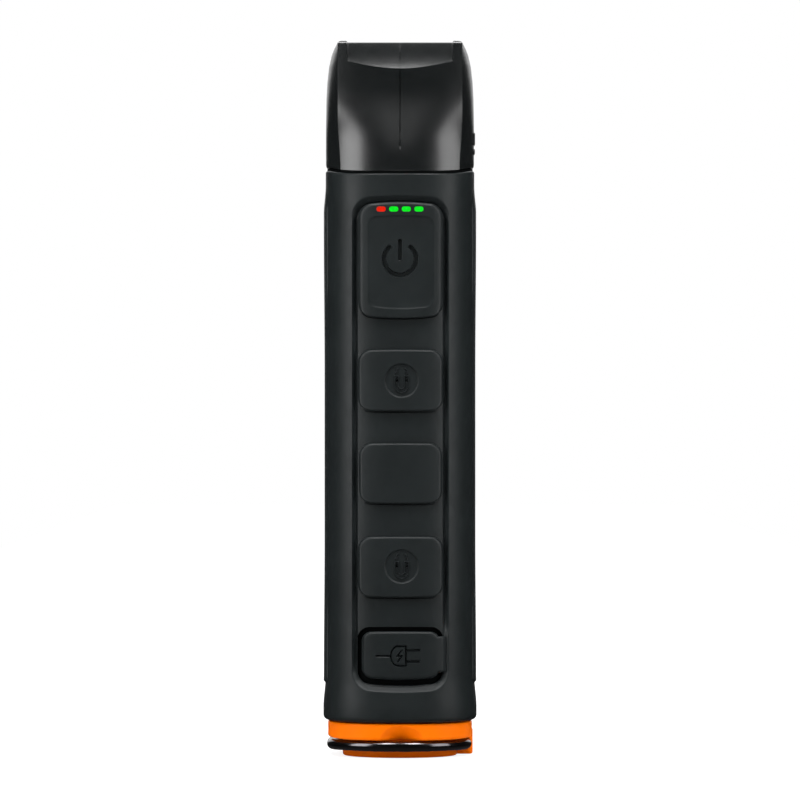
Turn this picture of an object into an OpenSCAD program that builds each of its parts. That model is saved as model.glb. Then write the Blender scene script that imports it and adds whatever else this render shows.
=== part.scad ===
// Rechargeable hand-held work lamp: a pillar body with a rubber sleeve, a row of controls on one
// long face, a light strip on the other, a torch in the head and a swivel base with a wire hook.
// Units are millimetres. Z is up, -Y is the control face, and the lamp stands on its foot at Z = 0.

/* [Body] */

// Half width of the body across X
half_width = 23.35; // [18:0.05:30]

// Half depth of the body across Y
half_depth = 19; // [14:0.05:26]

// Squareness of the body's section, where 2 is an ellipse
section_power = 2.5; // [2:0.1:6]

// Height of the sleeve's lower edge above the foot
sleeve_bottom = 11.45; // [10:0.05:14]

// Height of the sleeve's upper edge above the foot
sleeve_top = 181.9; // [150:0.1:220]

// Outward step of the flare at the sleeve's lower edge
flare_step = 0.75; // [0:0.05:2]

// Outward step of the raised grips on the two sides
grip_step = 0.6; // [0:0.05:1.5]

// Wall of the hard housing inside the sleeve
shell_wall = 1.8; // [1.2:0.1:3]

/* [Control face] */

// Half width of the channel that the pads stand in
channel_half = 13.9; // [12:0.1:18]

// Depth of the channel below the face
channel_depth = 1.6; // [0.5:0.1:3]

// Height of the channel's lower end above the foot
channel_bottom = 21.8; // [18:0.1:30]

// Height of the channel's upper end above the foot
channel_top = 174.9; // [150:0.1:178]

// Half width of the pads and of the power button
pad_half = 12.95; // [9:0.05:14]

// Corner radius of the pads
pad_corner = 3; // [1:0.1:5]

// How far the button's and the channel's ends crown outward at the middle
crown = 1; // [0:0.1:2]

// How far the pads stand out from the channel's floor
pad_rise = 1.45; // [0.4:0.05:2]

// Height of the power button's lower edge
button_low = 136.9; // [130:0.1:145]

// Height of the power button's upper edge
button_high = 173.2; // [160:0.1:176]

// How far the power button can be pressed
button_travel = 0.45; // [0.2:0.05:0.5]

// Spacing of the charge windows
window_pitch = 3.9; // [3:0.05:5]

// Height of the charge windows above the foot
window_height = 170.8; // [165:0.1:172]

// Height of the upper magnet's centre above the foot
upper_magnet_height = 117.6; // [110:0.1:125]

// Height of the lower magnet's centre above the foot
lower_magnet_height = 60; // [55:0.1:70]

// Radius of the two magnets on the control face
magnet_radius = 8; // [5:0.1:9]

/* [Charging port] */

// Left edge of the port flap
flap_left = -10.9; // [-12:0.1:-9]

// Position of the flap's hinge line across X
flap_hinge_x = 12.2; // [11:0.1:13]

// Position of the flap's hinge line across Y
flap_hinge_y = -16.35; // [-17:0.05:-16]

// Lower edge of the port flap
flap_low = 24.6; // [23:0.1:27]

// Upper edge of the port flap
flap_high = 39.7; // [36:0.1:42]

// Height of the charging socket's centre
port_height = 32.1; // [29:0.1:35]

/* [Light strip] */

// Half width of the light strip's opening
lens_half = 14.1; // [10:0.1:15]

// Lower end of the light strip's opening
lens_low = 40; // [30:0.5:60]

// Upper end of the light strip's opening
lens_high = 170; // [140:0.5:174]

/* [Power] */

// Radius of the battery cell
cell_radius = 9.2; // [8:0.1:10.6]

// Length of the battery cell
cell_length = 65; // [60:0.5:70]

/* [Head] */

// Height of the head's lower edge above the foot
head_bottom = 182.5; // [182:0.1:184]

// Overall height of the lamp
overall_height = 223.1; // [210:0.1:235]

// Distance from the middle to each cheek beside the head's scooped edge
cheek_inner = 16.4; // [14:0.1:18]

// How far the control face leans outward up the head
head_lean = 1.4; // [0:0.1:2]

// Radius of the torch in the head's top
torch_radius = 10.5; // [8:0.1:10.8]

/* [Base and hook] */

// Half width of the orange collar
collar_half = 22.7; // [20:0.1:23.3]

// Height of the collar's lower edge above the foot
collar_bottom = 6; // [5.8:0.1:7]

// Radius of the spindle that the base turns on
spindle_radius = 4; // [3:0.1:5]

// Running clearance around turning shafts
running_clearance = 0.05; // [0.02:0.01:0.09]

// Radius of the hook's wire
wire_radius = 1.65; // [1.2:0.05:2]

// Height of the wire's centre above the foot
wire_height = 3.6; // [3:0.05:4]

// Position of the hook's hinge line across X
hook_hinge_x = 20.85; // [19:0.05:21]

/* [Hidden] */

$fn = 48;
deep = half_depth - 3.4;
floor_half = half_width - channel_depth;
floor_deep = half_depth - channel_depth;
pad_out = channel_depth - pad_rise;
cell_y = -1.5;
cell_low = 44.6;
torch_y = 1.5;
bend_front = 26;
bend_turn = 32;
bend_x = bend_front * sin(bend_turn);
bend_y = bend_front * (1 - cos(bend_turn));
wire_front = -17.2;
bend_right = (hook_hinge_x - bend_x) / (1 - cos(90 - bend_turn));
bend_left = (21.3 - bend_x) / (1 - cos(90 - bend_turn));
pin_start = wire_front + bend_y + bend_right * sin(90 - bend_turn);
side_start = wire_front + bend_y + bend_left * sin(90 - bend_turn);
rubber_c = [0.035, 0.04, 0.042];
hard_c = [0.02, 0.022, 0.024];
orange_c = [1, 0.35, 0.02];
steel_c = [0.6, 0.6, 0.62];
board_c = [0.05, 0.25, 0.1];

// ---- shared shapes ----

function loop(a, b, n, m) = [
    for (i = [0 : m - 1])
        let (t = 360 * i / m, c = cos(t), s = sin(t))
        [a * sign(c) * pow(abs(c), 2 / n), b * sign(s) * pow(abs(s), 2 / n)]
];

function corner(x, z, r, from) = [
    for (i = [0 : 4])
        let (t = from + 22.5 * i)
        [x + r * cos(t), z + r * sin(t)]
];

function edge(x0, x1, z) = [
    for (i = [1 : 5])
        [x0 + (x1 - x0) * i / 6, z]
];

// A rounded outline whose upper and lower edges crown outward by top and low at the middle.
function crowned(x0, x1, z0, z1, r, top, low) = [
    for (p = concat(
        corner(x1 - r, z1 - r, r, 0),
        edge(x1 - r, x0 + r, z1),
        corner(x0 + r, z1 - r, r, 90),
        corner(x0 + r, z0 + r, r, 180),
        edge(x0 + r, x1 - r, z0),
        corner(x1 - r, z0 + r, r, 270)
    ))
        let (t = pow((2 * p[0] - x0 - x1) / (x1 - x0), 2))
        [p[0], p[1] + (p[1] > (z0 + z1) / 2 ? -top * t : low * t)]
];

module column(a, b, z0, z1) {
    translate([0, 0, z0])
        linear_extrude(z1 - z0)
        polygon(loop(a, b, section_power, 64));
}

module block(x0, x1, y0, y1, z0, z1) {
    translate([x0, y0, z0])
        cube([x1 - x0, y1 - y0, z1 - z0]);
}

module along_y(y0, y1) {
    translate([0, y1, 0])
        rotate([90, 0, 0])
        linear_extrude(y1 - y0)
        children();
}

module along_x(x0, x1) {
    translate([x0, 0, 0])
        rotate([90, 0, 90])
        linear_extrude(x1 - x0)
        children();
}

module rod_y(x, z, r, y0, y1) {
    translate([x, y1, z])
        rotate([90, 0, 0])
        cylinder(h = y1 - y0, r = r);
}

module rod_x(y, z, r, x0, x1) {
    translate([x0, y, z])
        rotate([0, 90, 0])
        cylinder(h = x1 - x0, r = r);
}

module rod_z(x, y, r, z0, z1) {
    translate([x, y, z0])
        cylinder(h = z1 - z0, r = r);
}

module tablet(x0, x1, z0, z1, r, y0, y1, top = 0, low = 0) {
    along_y(y0, y1)
        polygon(crowned(x0, x1, z0, z1, r, top, low));
}

// A pad stands on the channel's floor and follows the body's curve.
module pad(w, z0, z1) {
    difference() {
        intersection() {
            column(half_width - pad_out, half_depth - pad_out, z0 - 1, z1 + 1);
            tablet(-w, w, z0, z1, pad_corner, -30, 0, 0.2, 0.2);
        }
        column(floor_half + 0.05, floor_deep + 0.05, z0 - 2, z1 + 2);
    }
}

// ---- housing ----

module rubber_sleeve() color(rubber_c) difference() {
    union() {
        column(half_width, half_depth, sleeve_bottom, sleeve_top);
        column(half_width + flare_step, half_depth + 0.5, sleeve_bottom, 17);
        column(half_width + flare_step / 2, half_depth + 0.25, 16, 20);
        intersection() {
            column(half_width + grip_step, half_depth + 0.4, 22.2, 176.7);
            block(-30, 30, -13, 7, 20, 180);
        }
    }
    column(half_width - 2.25, deep + 0.05, 10, 183);
    block(-30, 30, 8, 30, 10, 183);
    difference() {
        tablet(-channel_half, channel_half, channel_bottom, channel_top, 5, -30, 0, crown, crown);
        column(floor_half, floor_deep, 10, 183);
    }
    tablet(-pad_half - 0.35, pad_half + 0.35, button_low - 0.35, button_high + 0.35, pad_corner + 0.8,
        -30, -deep - 0.02, crown, crown);
    tablet(-8, 8, button_low + 2.6, window_height + 1.8, 2, -30, -10);
    tablet(flap_left - 1.4, flap_hinge_x + 1.3, flap_low - 1.4, flap_high + 1.4, 3.4,
        -30, -15.9, 0.2, 0.8);
    rod_z(flap_hinge_x, flap_hinge_y, 1.25, 24, 41);
    tablet(-5.6, 7.7, port_height - 3.9, port_height + 3.9, 1.5, -30, -10);
    rod_y(0, upper_magnet_height, magnet_radius + 0.1, -30, -10);
    rod_y(0, lower_magnet_height, magnet_radius + 0.1, -30, -10);
}

module back_shell() color(hard_c) difference() {
    union() {
        difference() {
            column(half_width - 2.3, deep, sleeve_bottom, sleeve_top);
            column(half_width - 2.3 - shell_wall, deep - shell_wall, 10, 183);
            block(-30, 30, 4.95, 30, 10, 183);
        }
        rod_y(0, upper_magnet_height, magnet_radius + 1.3, -15, -13);
        rod_y(0, lower_magnet_height, magnet_radius + 1.3, -15, -13);
        for (side = [-1, 1]) {
            intersection() {
                translate([side * 16.5, 0, 20.05])
                    cube([7, 5, 7.9], center = true);
                column(half_width - 2.4, deep - 0.1, 12, 30);
            }
        }
    }
    rod_y(0, upper_magnet_height, magnet_radius + 0.1, -30, -14.2);
    rod_y(0, lower_magnet_height, magnet_radius + 0.1, -30, -14.2);
    rod_y(0, 155, 2.95, -30, -10);
    block(-8, 8, -30, -10, window_height - 1.5, window_height + 1.5);
    tablet(-5.6, 7.7, port_height - 3.9, port_height + 3.9, 1.5, -30, -10);
    rod_z(-14.8, 0, 1.05, 10, 23.5);
    rod_z(14.8, 0, 1.05, 10, 23.5);
}

module front_shell() color(hard_c) difference() {
    union() {
        difference() {
            union() {
                intersection() {
                    column(half_width, half_depth, sleeve_bottom, sleeve_top);
                    block(-30, 30, 8.3, 30, 10, 183);
                }
                intersection() {
                    column(half_width - 2.3, deep, sleeve_bottom, sleeve_top);
                    block(-30, 30, 5, 8.4, 10, 183);
                }
            }
            column(half_width - 2.3 - shell_wall, 16.8, 10, 183);
        }
        intersection() {
            column(half_width - 0.4, half_depth - 0.1, 36, 174);
            block(-17, 17, 12.6, 18.5, 37, 173);
        }
    }
    tablet(-lens_half, lens_half, lens_low, lens_high, 3, 14.45, 30);
    tablet(-12.7, 12.7, lens_low + 2.2, lens_high - 2.2, 2, 10, 20);
}

module end_plate() color(hard_c) difference() {
    column(half_width - 2.4 - shell_wall, deep - shell_wall - 0.1, 12, 16);
    rod_z(0, 0, spindle_radius + running_clearance, 10, 20);
    for (side = [-1, 1]) {
        rod_z(side * 14.8, 0, 1.25, 10, 20);
        rod_z(side * 14.8, 0, 2.1, 10, 13.5);
    }
}

module end_plate_screws() color(steel_c)
    for (side = [-1, 1]) {
        rod_z(side * 14.8, 0, 1.9, 12.1, 13.45);
        rod_z(side * 14.8, 0, 1, 13.4, 22.5);
    }

// ---- head ----

module head_solid() {
    difference() {
        intersection() {
            column(half_width - 0.05, half_depth + head_lean, head_bottom, overall_height);
            along_y(-30, 30)
                polygon([
                    [-23.3, 180], [-23.3, 196], [-23.1, 206], [-22.9, 211], [-22.3, 216],
                    [-21.5, 219.5], [-20.4, 222], [-19.9, 223], [-19.2, 230],
                    [19.2, 230], [19.9, 223], [20.4, 222], [21.5, 219.5],
                    [22.3, 216], [22.9, 211], [23.1, 206], [23.3, 196], [23.3, 180]
                ]);
            along_x(-30, 30)
                polygon([
                    [-half_depth, 182], [-half_depth - head_lean, 214.3],
                    [-half_depth - head_lean + 2.2, 219.6],
                    [-half_depth - head_lean + 7.2, 230],
                    [15, 230], [15, 222.5], [17.8, 221.2], [half_depth, 218.5], [half_depth, 182]
                ]);
        }
        along_x(-cheek_inner, cheek_inner)
            polygon([
                [-half_depth - head_lean - 1, 213.3], [-half_depth - head_lean + 9.2, 223.5],
                [-half_depth - head_lean + 9.2, 235], [-40, 235], [-40, 213.3]
            ]);
        column(half_width - 2.5, half_depth - 2.6, 184.5, 198);
        rod_z(0, torch_y, torch_radius + 0.1, 199.8, 230);
        rod_z(0, torch_y, 3, 190, 205);
        rod_z(0, cell_y, 5, 170, 190);
    }
    difference() {
        column(half_width - 2.45 - shell_wall, deep - shell_wall - 0.15, 178.6, 185);
        column(half_width - 4.1 - shell_wall, deep - shell_wall - 1.8, 178, 186);
    }
}

module head_shell_left() color(hard_c) difference() {
    intersection() {
        head_solid();
        block(-30, -0.03, -30, 30, 170, 240);
    }
    for (z = [202.5, 216]) {
        rod_x(14.6, z, 1.25, -30, 1);
        rod_x(14.6, z, 2.3, -30, -12);
    }
}

module head_shell_right() color(hard_c) {
    difference() {
        intersection() {
            head_solid();
            block(0.03, 30, -30, 30, 170, 240);
        }
        for (z = [202.5, 216]) {
            rod_x(14.6, z, 1.15, -1, 8.5);
        }
    }
    block(22, 23.55, -4, 4, 191.5, 195.5);
    block(22, 23.5, -4, 4, 188.6, 190.4);
}

module head_screws() color(steel_c)
    for (z = [202.5, 216]) {
        rod_x(14.6, z, 2.1, -13.8, -12.05);
        rod_x(14.6, z, 1.1, -12.1, 8);
    }

module head_seal() color(rubber_c) difference() {
    column(half_width - 0.5, half_depth - 0.5, sleeve_top + 0.05, head_bottom - 0.05);
    column(half_width - 2.4 - shell_wall + 0.3, deep - shell_wall + 0.3, 180, 184);
}

// ---- pads and magnets on the control face ----

module upper_magnet_pad() color(rubber_c)
    pad(pad_half, 108.2, 127.3);

module middle_pad() color(rubber_c)
    pad(pad_half - 0.4, 79.5, 98.3);

module lower_magnet_pad() color(rubber_c)
    pad(pad_half, 50.4, 69.3);

module upper_magnet() color(steel_c)
    rod_y(0, upper_magnet_height, magnet_radius, -16.8, -14.3);

module lower_magnet() color(steel_c)
    rod_y(0, lower_magnet_height, magnet_radius, -16.8, -14.3);

// ---- power button and its charge windows ----

module window_hole(i, grow) {
    x = (i - 1.5) * window_pitch;
    tablet(x - 1.5 - grow, x + 1.5 + grow, window_height - 0.88 - grow, window_height + 0.88 + grow,
        0.8, -30, 0);
}

module power_button() color(rubber_c) difference() {
    union() {
        difference() {
            intersection() {
                column(half_width - pad_out, half_depth - pad_out, button_low - 1, button_high + 1);
                tablet(-pad_half, pad_half, button_low, button_high, pad_corner + 0.5, -30, -16.4,
                    crown, crown);
            }
            translate([0, -half_depth + 0.2, 154.3])
                scale([10.5, 0.95, 14.7])
                sphere(r = 1);
        }
        rod_y(0, 155, 2.5, -16.6, -13.5);
    }
    for (i = [0 : 3]) {
        window_hole(i, 0.02);
    }
}

module window_light(i) {
    intersection() {
        column(half_width - pad_out, half_depth - pad_out, 160, 180);
        window_hole(i, 0);
        block(-20, 20, -30, -16.4, 160, 180);
    }
}

module charge_window_red() color([0.9, 0.1, 0.05])
    window_light(0);

module charge_windows_green() color([0.05, 0.85, 0.2])
    for (i = [1 : 3]) {
        window_light(i);
    }

module control_board() color(board_c)
    block(-11.2, 11.2, -11.6, -10.4, 128.5, 178);

module tactile_switch() color(steel_c) {
    block(-3, 3, -12.35, -11.65, 152, 158);
    rod_y(0, 155, 1.6, -12.7, -12.3);
}

module indicator_leds() color([0.9, 0.9, 0.85])
    for (i = [0 : 3]) {
        x = (i - 1.5) * window_pitch;
        block(x - 0.8, x + 0.8, -12.4, -11.65, window_height - 0.5, window_height + 0.5);
    }

// ---- charging port ----

module port_flap() color(rubber_c) {
    difference() {
        intersection() {
            column(half_width - pad_out, half_depth - pad_out, 20, 45);
            tablet(flap_left, flap_hinge_x, flap_low, flap_high, 2, -30, -16.3, 0.2, 0.8);
        }
        block(flap_hinge_x - 0.9, 20, -20, -16, flap_low - 1, 27);
        block(flap_hinge_x - 0.9, 20, -20, -16, 37.5, flap_high + 1);
    }
    rod_z(flap_hinge_x, flap_hinge_y, 0.85, 27, 37.5);
    tablet(-4.3, 6.7, port_height - 3.3, port_height + 3.3, 1.2, -16.4, -14.5);
}

module usb_socket() color(steel_c) difference() {
    tablet(-3.35, 5.55, port_height - 1.62, port_height + 1.62, 1.4, -13.9, -7.95);
    difference() {
        tablet(-3.05, 5.25, port_height - 1.32, port_height + 1.32, 1.2, -15, -8.6);
        block(-2.3, 4.5, -13.4, -8, port_height - 0.35, port_height + 0.35);
    }
}

module charge_board() color(board_c)
    block(-9.5, 11.5, -7.9, -6.7, 20, 43);

// ---- power ----

module battery_cell() color([0.1, 0.25, 0.55])
    rod_z(0, cell_y, cell_radius, cell_low, cell_low + cell_length);

module battery_cradle() color(hard_c) difference() {
    union() {
        rod_z(0, cell_y, cell_radius + 1.4, 47, 52);
        rod_z(0, cell_y, cell_radius + 1.4, 74, 79);
        rod_z(0, cell_y, cell_radius + 1.4, 102, 107);
        block(-12.5, -9.6, cell_y - 3, cell_y + 3, 47, 107);
        block(9.6, 12.5, cell_y - 3, cell_y + 3, 47, 107);
    }
    rod_z(0, cell_y, cell_radius + 0.1, 40, 115);
    block(-20, 20, 7.4, 20, 40, 115);
    block(-20, 20, -20, -10.4, 40, 115);
}

module battery_terminals() color([0.8, 0.78, 0.6]) {
    block(-4, 4, cell_y - 4, cell_y + 4, cell_low - 0.75, cell_low - 0.05);
    block(-4, 4, cell_y - 4, cell_y + 4, cell_low + cell_length + 0.05, cell_low + cell_length + 0.75);
}

module battery_leads() color([0.8, 0.05, 0.05]) {
    rod_z(-2, cell_y, 0.8, cell_low + cell_length + 0.8, 127);
    rod_z(2, cell_y, 0.8, cell_low + cell_length + 0.8, 196);
    rod_z(-5.5, -5, 0.8, 22, 43);
}

// ---- light strip ----

module heat_sink() color(steel_c)
    block(-15, 15, 8.6, 10.3, 38, 172);

module light_board() color([0.85, 0.85, 0.82])
    block(-12.4, 12.4, 10.35, 11.35, 42.6, 167.4);

module cob_strip() color([0.95, 0.8, 0.2])
    tablet(-4, 4, 48, 162, 1.5, 11.4, 12.3);

module light_reflector() color([0.92, 0.92, 0.92]) difference() {
    block(-12.5, 12.5, 11.4, 14.3, lens_low + 2.4, lens_high - 2.4);
    translate([0, 0, lens_low + 5])
        linear_extrude(lens_high - lens_low - 10)
        polygon([[-4.6, 11], [4.6, 11], [11.6, 14.5], [-11.6, 14.5]]);
}

module lens_gasket() color(rubber_c) difference() {
    tablet(-lens_half + 0.1, lens_half - 0.1, lens_low + 0.1, lens_high - 0.1, 2.9, 14.5, 14.85);
    tablet(-12.7, 12.7, lens_low + 2.2, lens_high - 2.2, 2, 10, 20);
}

module main_lens() color([0.9, 0.93, 0.95])
    tablet(-lens_half + 0.1, lens_half - 0.1, lens_low + 0.1, lens_high - 0.1, 2.9, 14.9, 16.4);

// ---- torch in the head's top ----

module turned() {
    translate([0, torch_y, 0])
        rotate_extrude()
        children();
}

module torch_lens_ring() color(hard_c)
    turned() polygon([
        [torch_radius, 218.5], [torch_radius, overall_height - 0.2], [torch_radius - 0.2, overall_height],
        [torch_radius - 1.4, overall_height], [torch_radius - 1.9, overall_height - 0.7],
        [torch_radius - 0.8, overall_height - 0.7], [torch_radius - 0.8, 218.5]
    ]);

module torch_lens() color([0.9, 0.93, 0.95])
    rod_z(0, torch_y, torch_radius - 0.9, 220.6, overall_height - 0.8);

module torch_reflector() color([0.9, 0.9, 0.9])
    turned() polygon([
        [2.8, 206.2], [5, 206.2], [9.5, 215], [9.5, 220.5], [8.9, 220.5], [8.6, 216], [5, 208.5], [2.8, 207.2]
    ]);

module torch_led_board() color([0.85, 0.85, 0.82])
    rod_z(0, torch_y, 8, 204.8, 206);

module torch_led() color([0.95, 0.8, 0.2]) {
    block(-1.75, 1.75, torch_y - 1.75, torch_y + 1.75, 206.05, 206.8);
    rod_z(0, torch_y, 1.3, 206.7, 207.4);
}

module torch_heat_sink() color(steel_c) difference() {
    rod_z(0, torch_y, 10, 200, 204.75);
    for (x = [-7.5 : 2.5 : 7.5]) {
        block(x - 0.5, x + 0.5, -20, 20, 199, 203);
    }
}

// ---- swivel base ----

module oval(a, b, z0, z1) {
    translate([0, 0, z0])
        linear_extrude(z1 - z0)
        polygon(loop(a, b, 2, 48));
}

module swivel_base() color(orange_c) difference() {
    union() {
        column(collar_half, half_depth - 0.5, collar_bottom, sleeve_bottom - 0.35);
        oval(17.6, 12.2, 0, 6.1);
        block(12, 22.95, 1.4, 9, 0.4, 6.2);
    }
    oval(16.05, 10.65, -1, 1.15);
    rod_z(0, 0, 9.1, 0, 4.25);
    rod_z(0, 0, 6.1, 4, 6.05);
    rod_z(0, 0, spindle_radius + 0.03, 5, 20);
    rod_y(hook_hinge_x, wire_height, wire_radius + running_clearance, -5, 20);
    translate([0, -half_depth - 2.5, 5.4])
        scale([9, 4.4, 5.6])
        sphere(r = 1);
}

module foot_pad() color(rubber_c)
    oval(16, 10.6, 0, 1.1);

module base_magnet() color(steel_c)
    rod_z(0, 0, 9, 1.2, 4.2);

module swivel_spindle() color(steel_c) {
    rod_z(0, 0, 6, 4.3, 6);
    rod_z(0, 0, spindle_radius, 5.9, 18.8);
}

module spindle_washer() color(steel_c) difference() {
    rod_z(0, 0, 8, 16.3, 17.1);
    rod_z(0, 0, spindle_radius + 0.1, 15, 20);
}

module spindle_clip() color(steel_c) difference() {
    rod_z(0, 0, 6.2, 17.15, 18.1);
    rod_z(0, 0, spindle_radius + 0.03, 15, 20);
    block(-1.5, 1.5, -9, 0, 17, 19);
}

// ---- wire hook ----

module arc(x, y, r, from, sweep) {
    translate([x, y, wire_height])
        rotate([0, 0, from])
        rotate_extrude(angle = sweep)
        translate([r, 0])
        circle(r = wire_radius);
}

module knuckle(x, y, turn) {
    translate([x, y, wire_height])
        rotate([0, 90, turn])
        sphere(r = wire_radius + 0.03);
}

module hook() color([0.05, 0.05, 0.06]) {
    rod_y(hook_hinge_x, wire_height, wire_radius, pin_start, 11);
    arc(hook_hinge_x - bend_right, pin_start, bend_right, -90 + bend_turn, 90 - bend_turn);
    arc(0, wire_front + bend_front, bend_front, -90 - bend_turn, 2 * bend_turn);
    arc(-21.3 + bend_left, side_start, bend_left, 180, 90 - bend_turn);
    rod_y(-21.3, wire_height, wire_radius, side_start, 6);
    arc(-21.3 + 9, 6, 9, 130, 50);
    knuckle(hook_hinge_x, pin_start, 90);
    knuckle(bend_x, wire_front + bend_y, bend_turn);
    knuckle(-bend_x, wire_front + bend_y, -bend_turn);
    knuckle(-21.3, side_start, 90);
    knuckle(-21.3, 6, 90);
    knuckle(-21.3 + 9 + 9 * cos(130), 6 + 9 * sin(130), 40);
}

module hook_clip() color(steel_c) difference() {
    rod_y(hook_hinge_x, wire_height, wire_radius + 0.4, 9.35, 10.2);
    rod_y(hook_hinge_x, wire_height, wire_radius + 0.02, 9, 12);
}

rubber_sleeve();
back_shell();
front_shell();
end_plate();
end_plate_screws();
head_shell_left();
head_shell_right();
head_screws();
head_seal();
upper_magnet_pad();
middle_pad();
lower_magnet_pad();
upper_magnet();
lower_magnet();
power_button();
charge_window_red();
charge_windows_green();
control_board();
tactile_switch();
indicator_leds();
port_flap();
usb_socket();
charge_board();
battery_cell();
battery_cradle();
battery_terminals();
battery_leads();
heat_sink();
light_board();
cob_strip();
light_reflector();
main_lens();
lens_gasket();
torch_lens_ring();
torch_lens();
torch_reflector();
torch_led_board();
torch_led();
torch_heat_sink();
swivel_base();
base_magnet();
foot_pad();
swivel_spindle();
spindle_washer();
spindle_clip();
hook();
hook_clip();
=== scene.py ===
"""Fine shapes and finishes of a rechargeable work lamp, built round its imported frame."""

import math

import bmesh
import bpy
import numpy as np
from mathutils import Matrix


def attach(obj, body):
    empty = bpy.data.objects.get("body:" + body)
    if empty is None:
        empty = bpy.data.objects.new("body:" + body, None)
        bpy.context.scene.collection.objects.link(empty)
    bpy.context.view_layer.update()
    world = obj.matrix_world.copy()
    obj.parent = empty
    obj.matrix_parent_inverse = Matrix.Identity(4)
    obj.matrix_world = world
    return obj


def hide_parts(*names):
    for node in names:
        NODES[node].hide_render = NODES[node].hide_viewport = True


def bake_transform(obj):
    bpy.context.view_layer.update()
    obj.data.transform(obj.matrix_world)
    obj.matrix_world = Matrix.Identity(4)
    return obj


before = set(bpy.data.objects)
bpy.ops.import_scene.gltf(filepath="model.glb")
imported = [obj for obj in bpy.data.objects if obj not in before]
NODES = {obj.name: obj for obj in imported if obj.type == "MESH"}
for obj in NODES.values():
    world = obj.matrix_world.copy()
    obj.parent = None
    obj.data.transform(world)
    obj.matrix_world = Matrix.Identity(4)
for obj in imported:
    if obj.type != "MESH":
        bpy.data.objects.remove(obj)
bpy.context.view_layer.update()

bl_info = {
    "name": "Work Lamp Looks",
    "version": (1, 0, 0),
    "blender": (4, 5, 0),
    "location": "3D View > Sidebar > Work Lamp",
    "description": "Builds the fine shapes, finishes and stage of a rechargeable work lamp",
    "category": "Object",
}

MM = 0.001

# Millimetres. The body's section is a squared oval, with the control face towards -y.
HALF_WIDTH = 23.35
HALF_DEPTH = 19.0
SQUARENESS = 2.5
SLEEVE_LOW = 11.45
SLEEVE_TOP = 181.9
SLEEVE_REAR = 8.0
SHELL_FRONT = 8.06
HEAD_LOW = 182.5
HEAD_TOP = 223.1

# The seam under the head rises at the sides, and the rise fades out below and above it
SEAM_RISE = 1.5
SEAM_FADE_LOW = 150.0
SEAM_FADE_HIGH = 205.0

# The channel, and what sits in it
CHANNEL_MIDDLE = 0.1
CHANNEL_LOW, CHANNEL_TOP = 20.95, 175.0
PAD_MIDDLE = 0.2
PAD_FACE = (HALF_WIDTH - 0.15, HALF_DEPTH - 0.15)
PAD_WALL = 1.6
BUTTON_LOW, BUTTON_TOP = 136.9, 173.2
DISH = (-10.0, 10.5, 139.7, 168.95)
POWER_SIGN_Z = 155.3
WINDOW_Z = 170.8
FLAP = (-11.9, 12.4, 24.75, 39.8)

# Cutting tools start here, in front of the control face
TOOL_FRONT = -30.0

# The head: half width between its cheeks, and where its front meets its sides
SCOOP_HALF = 16.4
CREASE = 19.35
PARTING_HALF = 0.03

# The hook's wire
WIRE_RADIUS = 1.65
PIN_X, PIN_Z = 20.85, 3.6


# ---- numbers and outlines ----

def settings():
    return bpy.context.scene.lamp_sizes


def colours():
    return bpy.context.scene.lamp_colours


def ease(low, high, value):
    """A smooth rise from 0 at low to 1 at high."""
    t = np.clip((value - low) / (high - low), 0.0, 1.0)
    return t * t * (3.0 - 2.0 * t)


def ramp(t, soft=0.2):
    """A straight rise from 0 to 1 whose two ends are rounded."""
    def knee(u):
        return np.where(u < -soft, 0.0, np.where(u > soft, u, (u + soft) ** 2 / (4.0 * soft)))
    return knee(t) - knee(t - 1.0)


def rounding(distance, reach, depth=None):
    """How far a quarter-round edge has drawn in, at a distance from its end."""
    short = np.clip(1.0 - distance / reach, 0.0, 1.0)
    return (reach if depth is None else depth) * (1.0 - np.sqrt(1.0 - short ** 2))


def face_depth(x, a=HALF_WIDTH, b=HALF_DEPTH):
    """How far a section with half sizes a and b stands from its middle plane at x."""
    share = np.clip(np.abs(x) / a, 0.0, 1.0)
    return b * (1.0 - share ** SQUARENESS) ** (1.0 / SQUARENESS)


def section_normals(x, y):
    """Outward unit normals, as their x and y, of the body's section at points on it."""
    nx = np.sign(x) * np.abs(x / HALF_WIDTH) ** (SQUARENESS - 1.0) / HALF_WIDTH
    ny = np.sign(y) * np.abs(y / HALF_DEPTH) ** (SQUARENESS - 1.0) / HALF_DEPTH
    length = np.hypot(nx, ny)
    return nx / length, ny / length


def outline_normals(points):
    """Outward unit normals of a closed outline that runs anticlockwise."""
    step = np.roll(points, -1, axis=0) - np.roll(points, 1, axis=0)
    normal = np.column_stack([step[:, 1], -step[:, 0]])
    return normal / np.linalg.norm(normal, axis=1)[:, None]


def section_loop(a, b, power=SQUARENESS, count=160):
    """A closed squared oval, anticlockwise."""
    angle = np.linspace(0.0, 2.0 * math.pi, count, endpoint=False)
    c, s = np.cos(angle), np.sin(angle)
    return np.column_stack([
        a * np.sign(c) * np.abs(c) ** (2.0 / power),
        b * np.sign(s) * np.abs(s) ** (2.0 / power),
    ])


def rounded_rectangle(x0, x1, y0, y1, radius):
    """A closed rectangle with round corners, anticlockwise."""
    corners = ((x1 - radius, y1 - radius, 0), (x0 + radius, y1 - radius, 90),
               (x0 + radius, y0 + radius, 180), (x1 - radius, y0 + radius, 270))
    points = []
    for cx, cy, start in corners:
        for angle in np.radians(start + np.linspace(0.0, 90.0, 8)):
            points.append((cx + radius * math.cos(angle), cy + radius * math.sin(angle)))
    return np.array(points)


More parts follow.
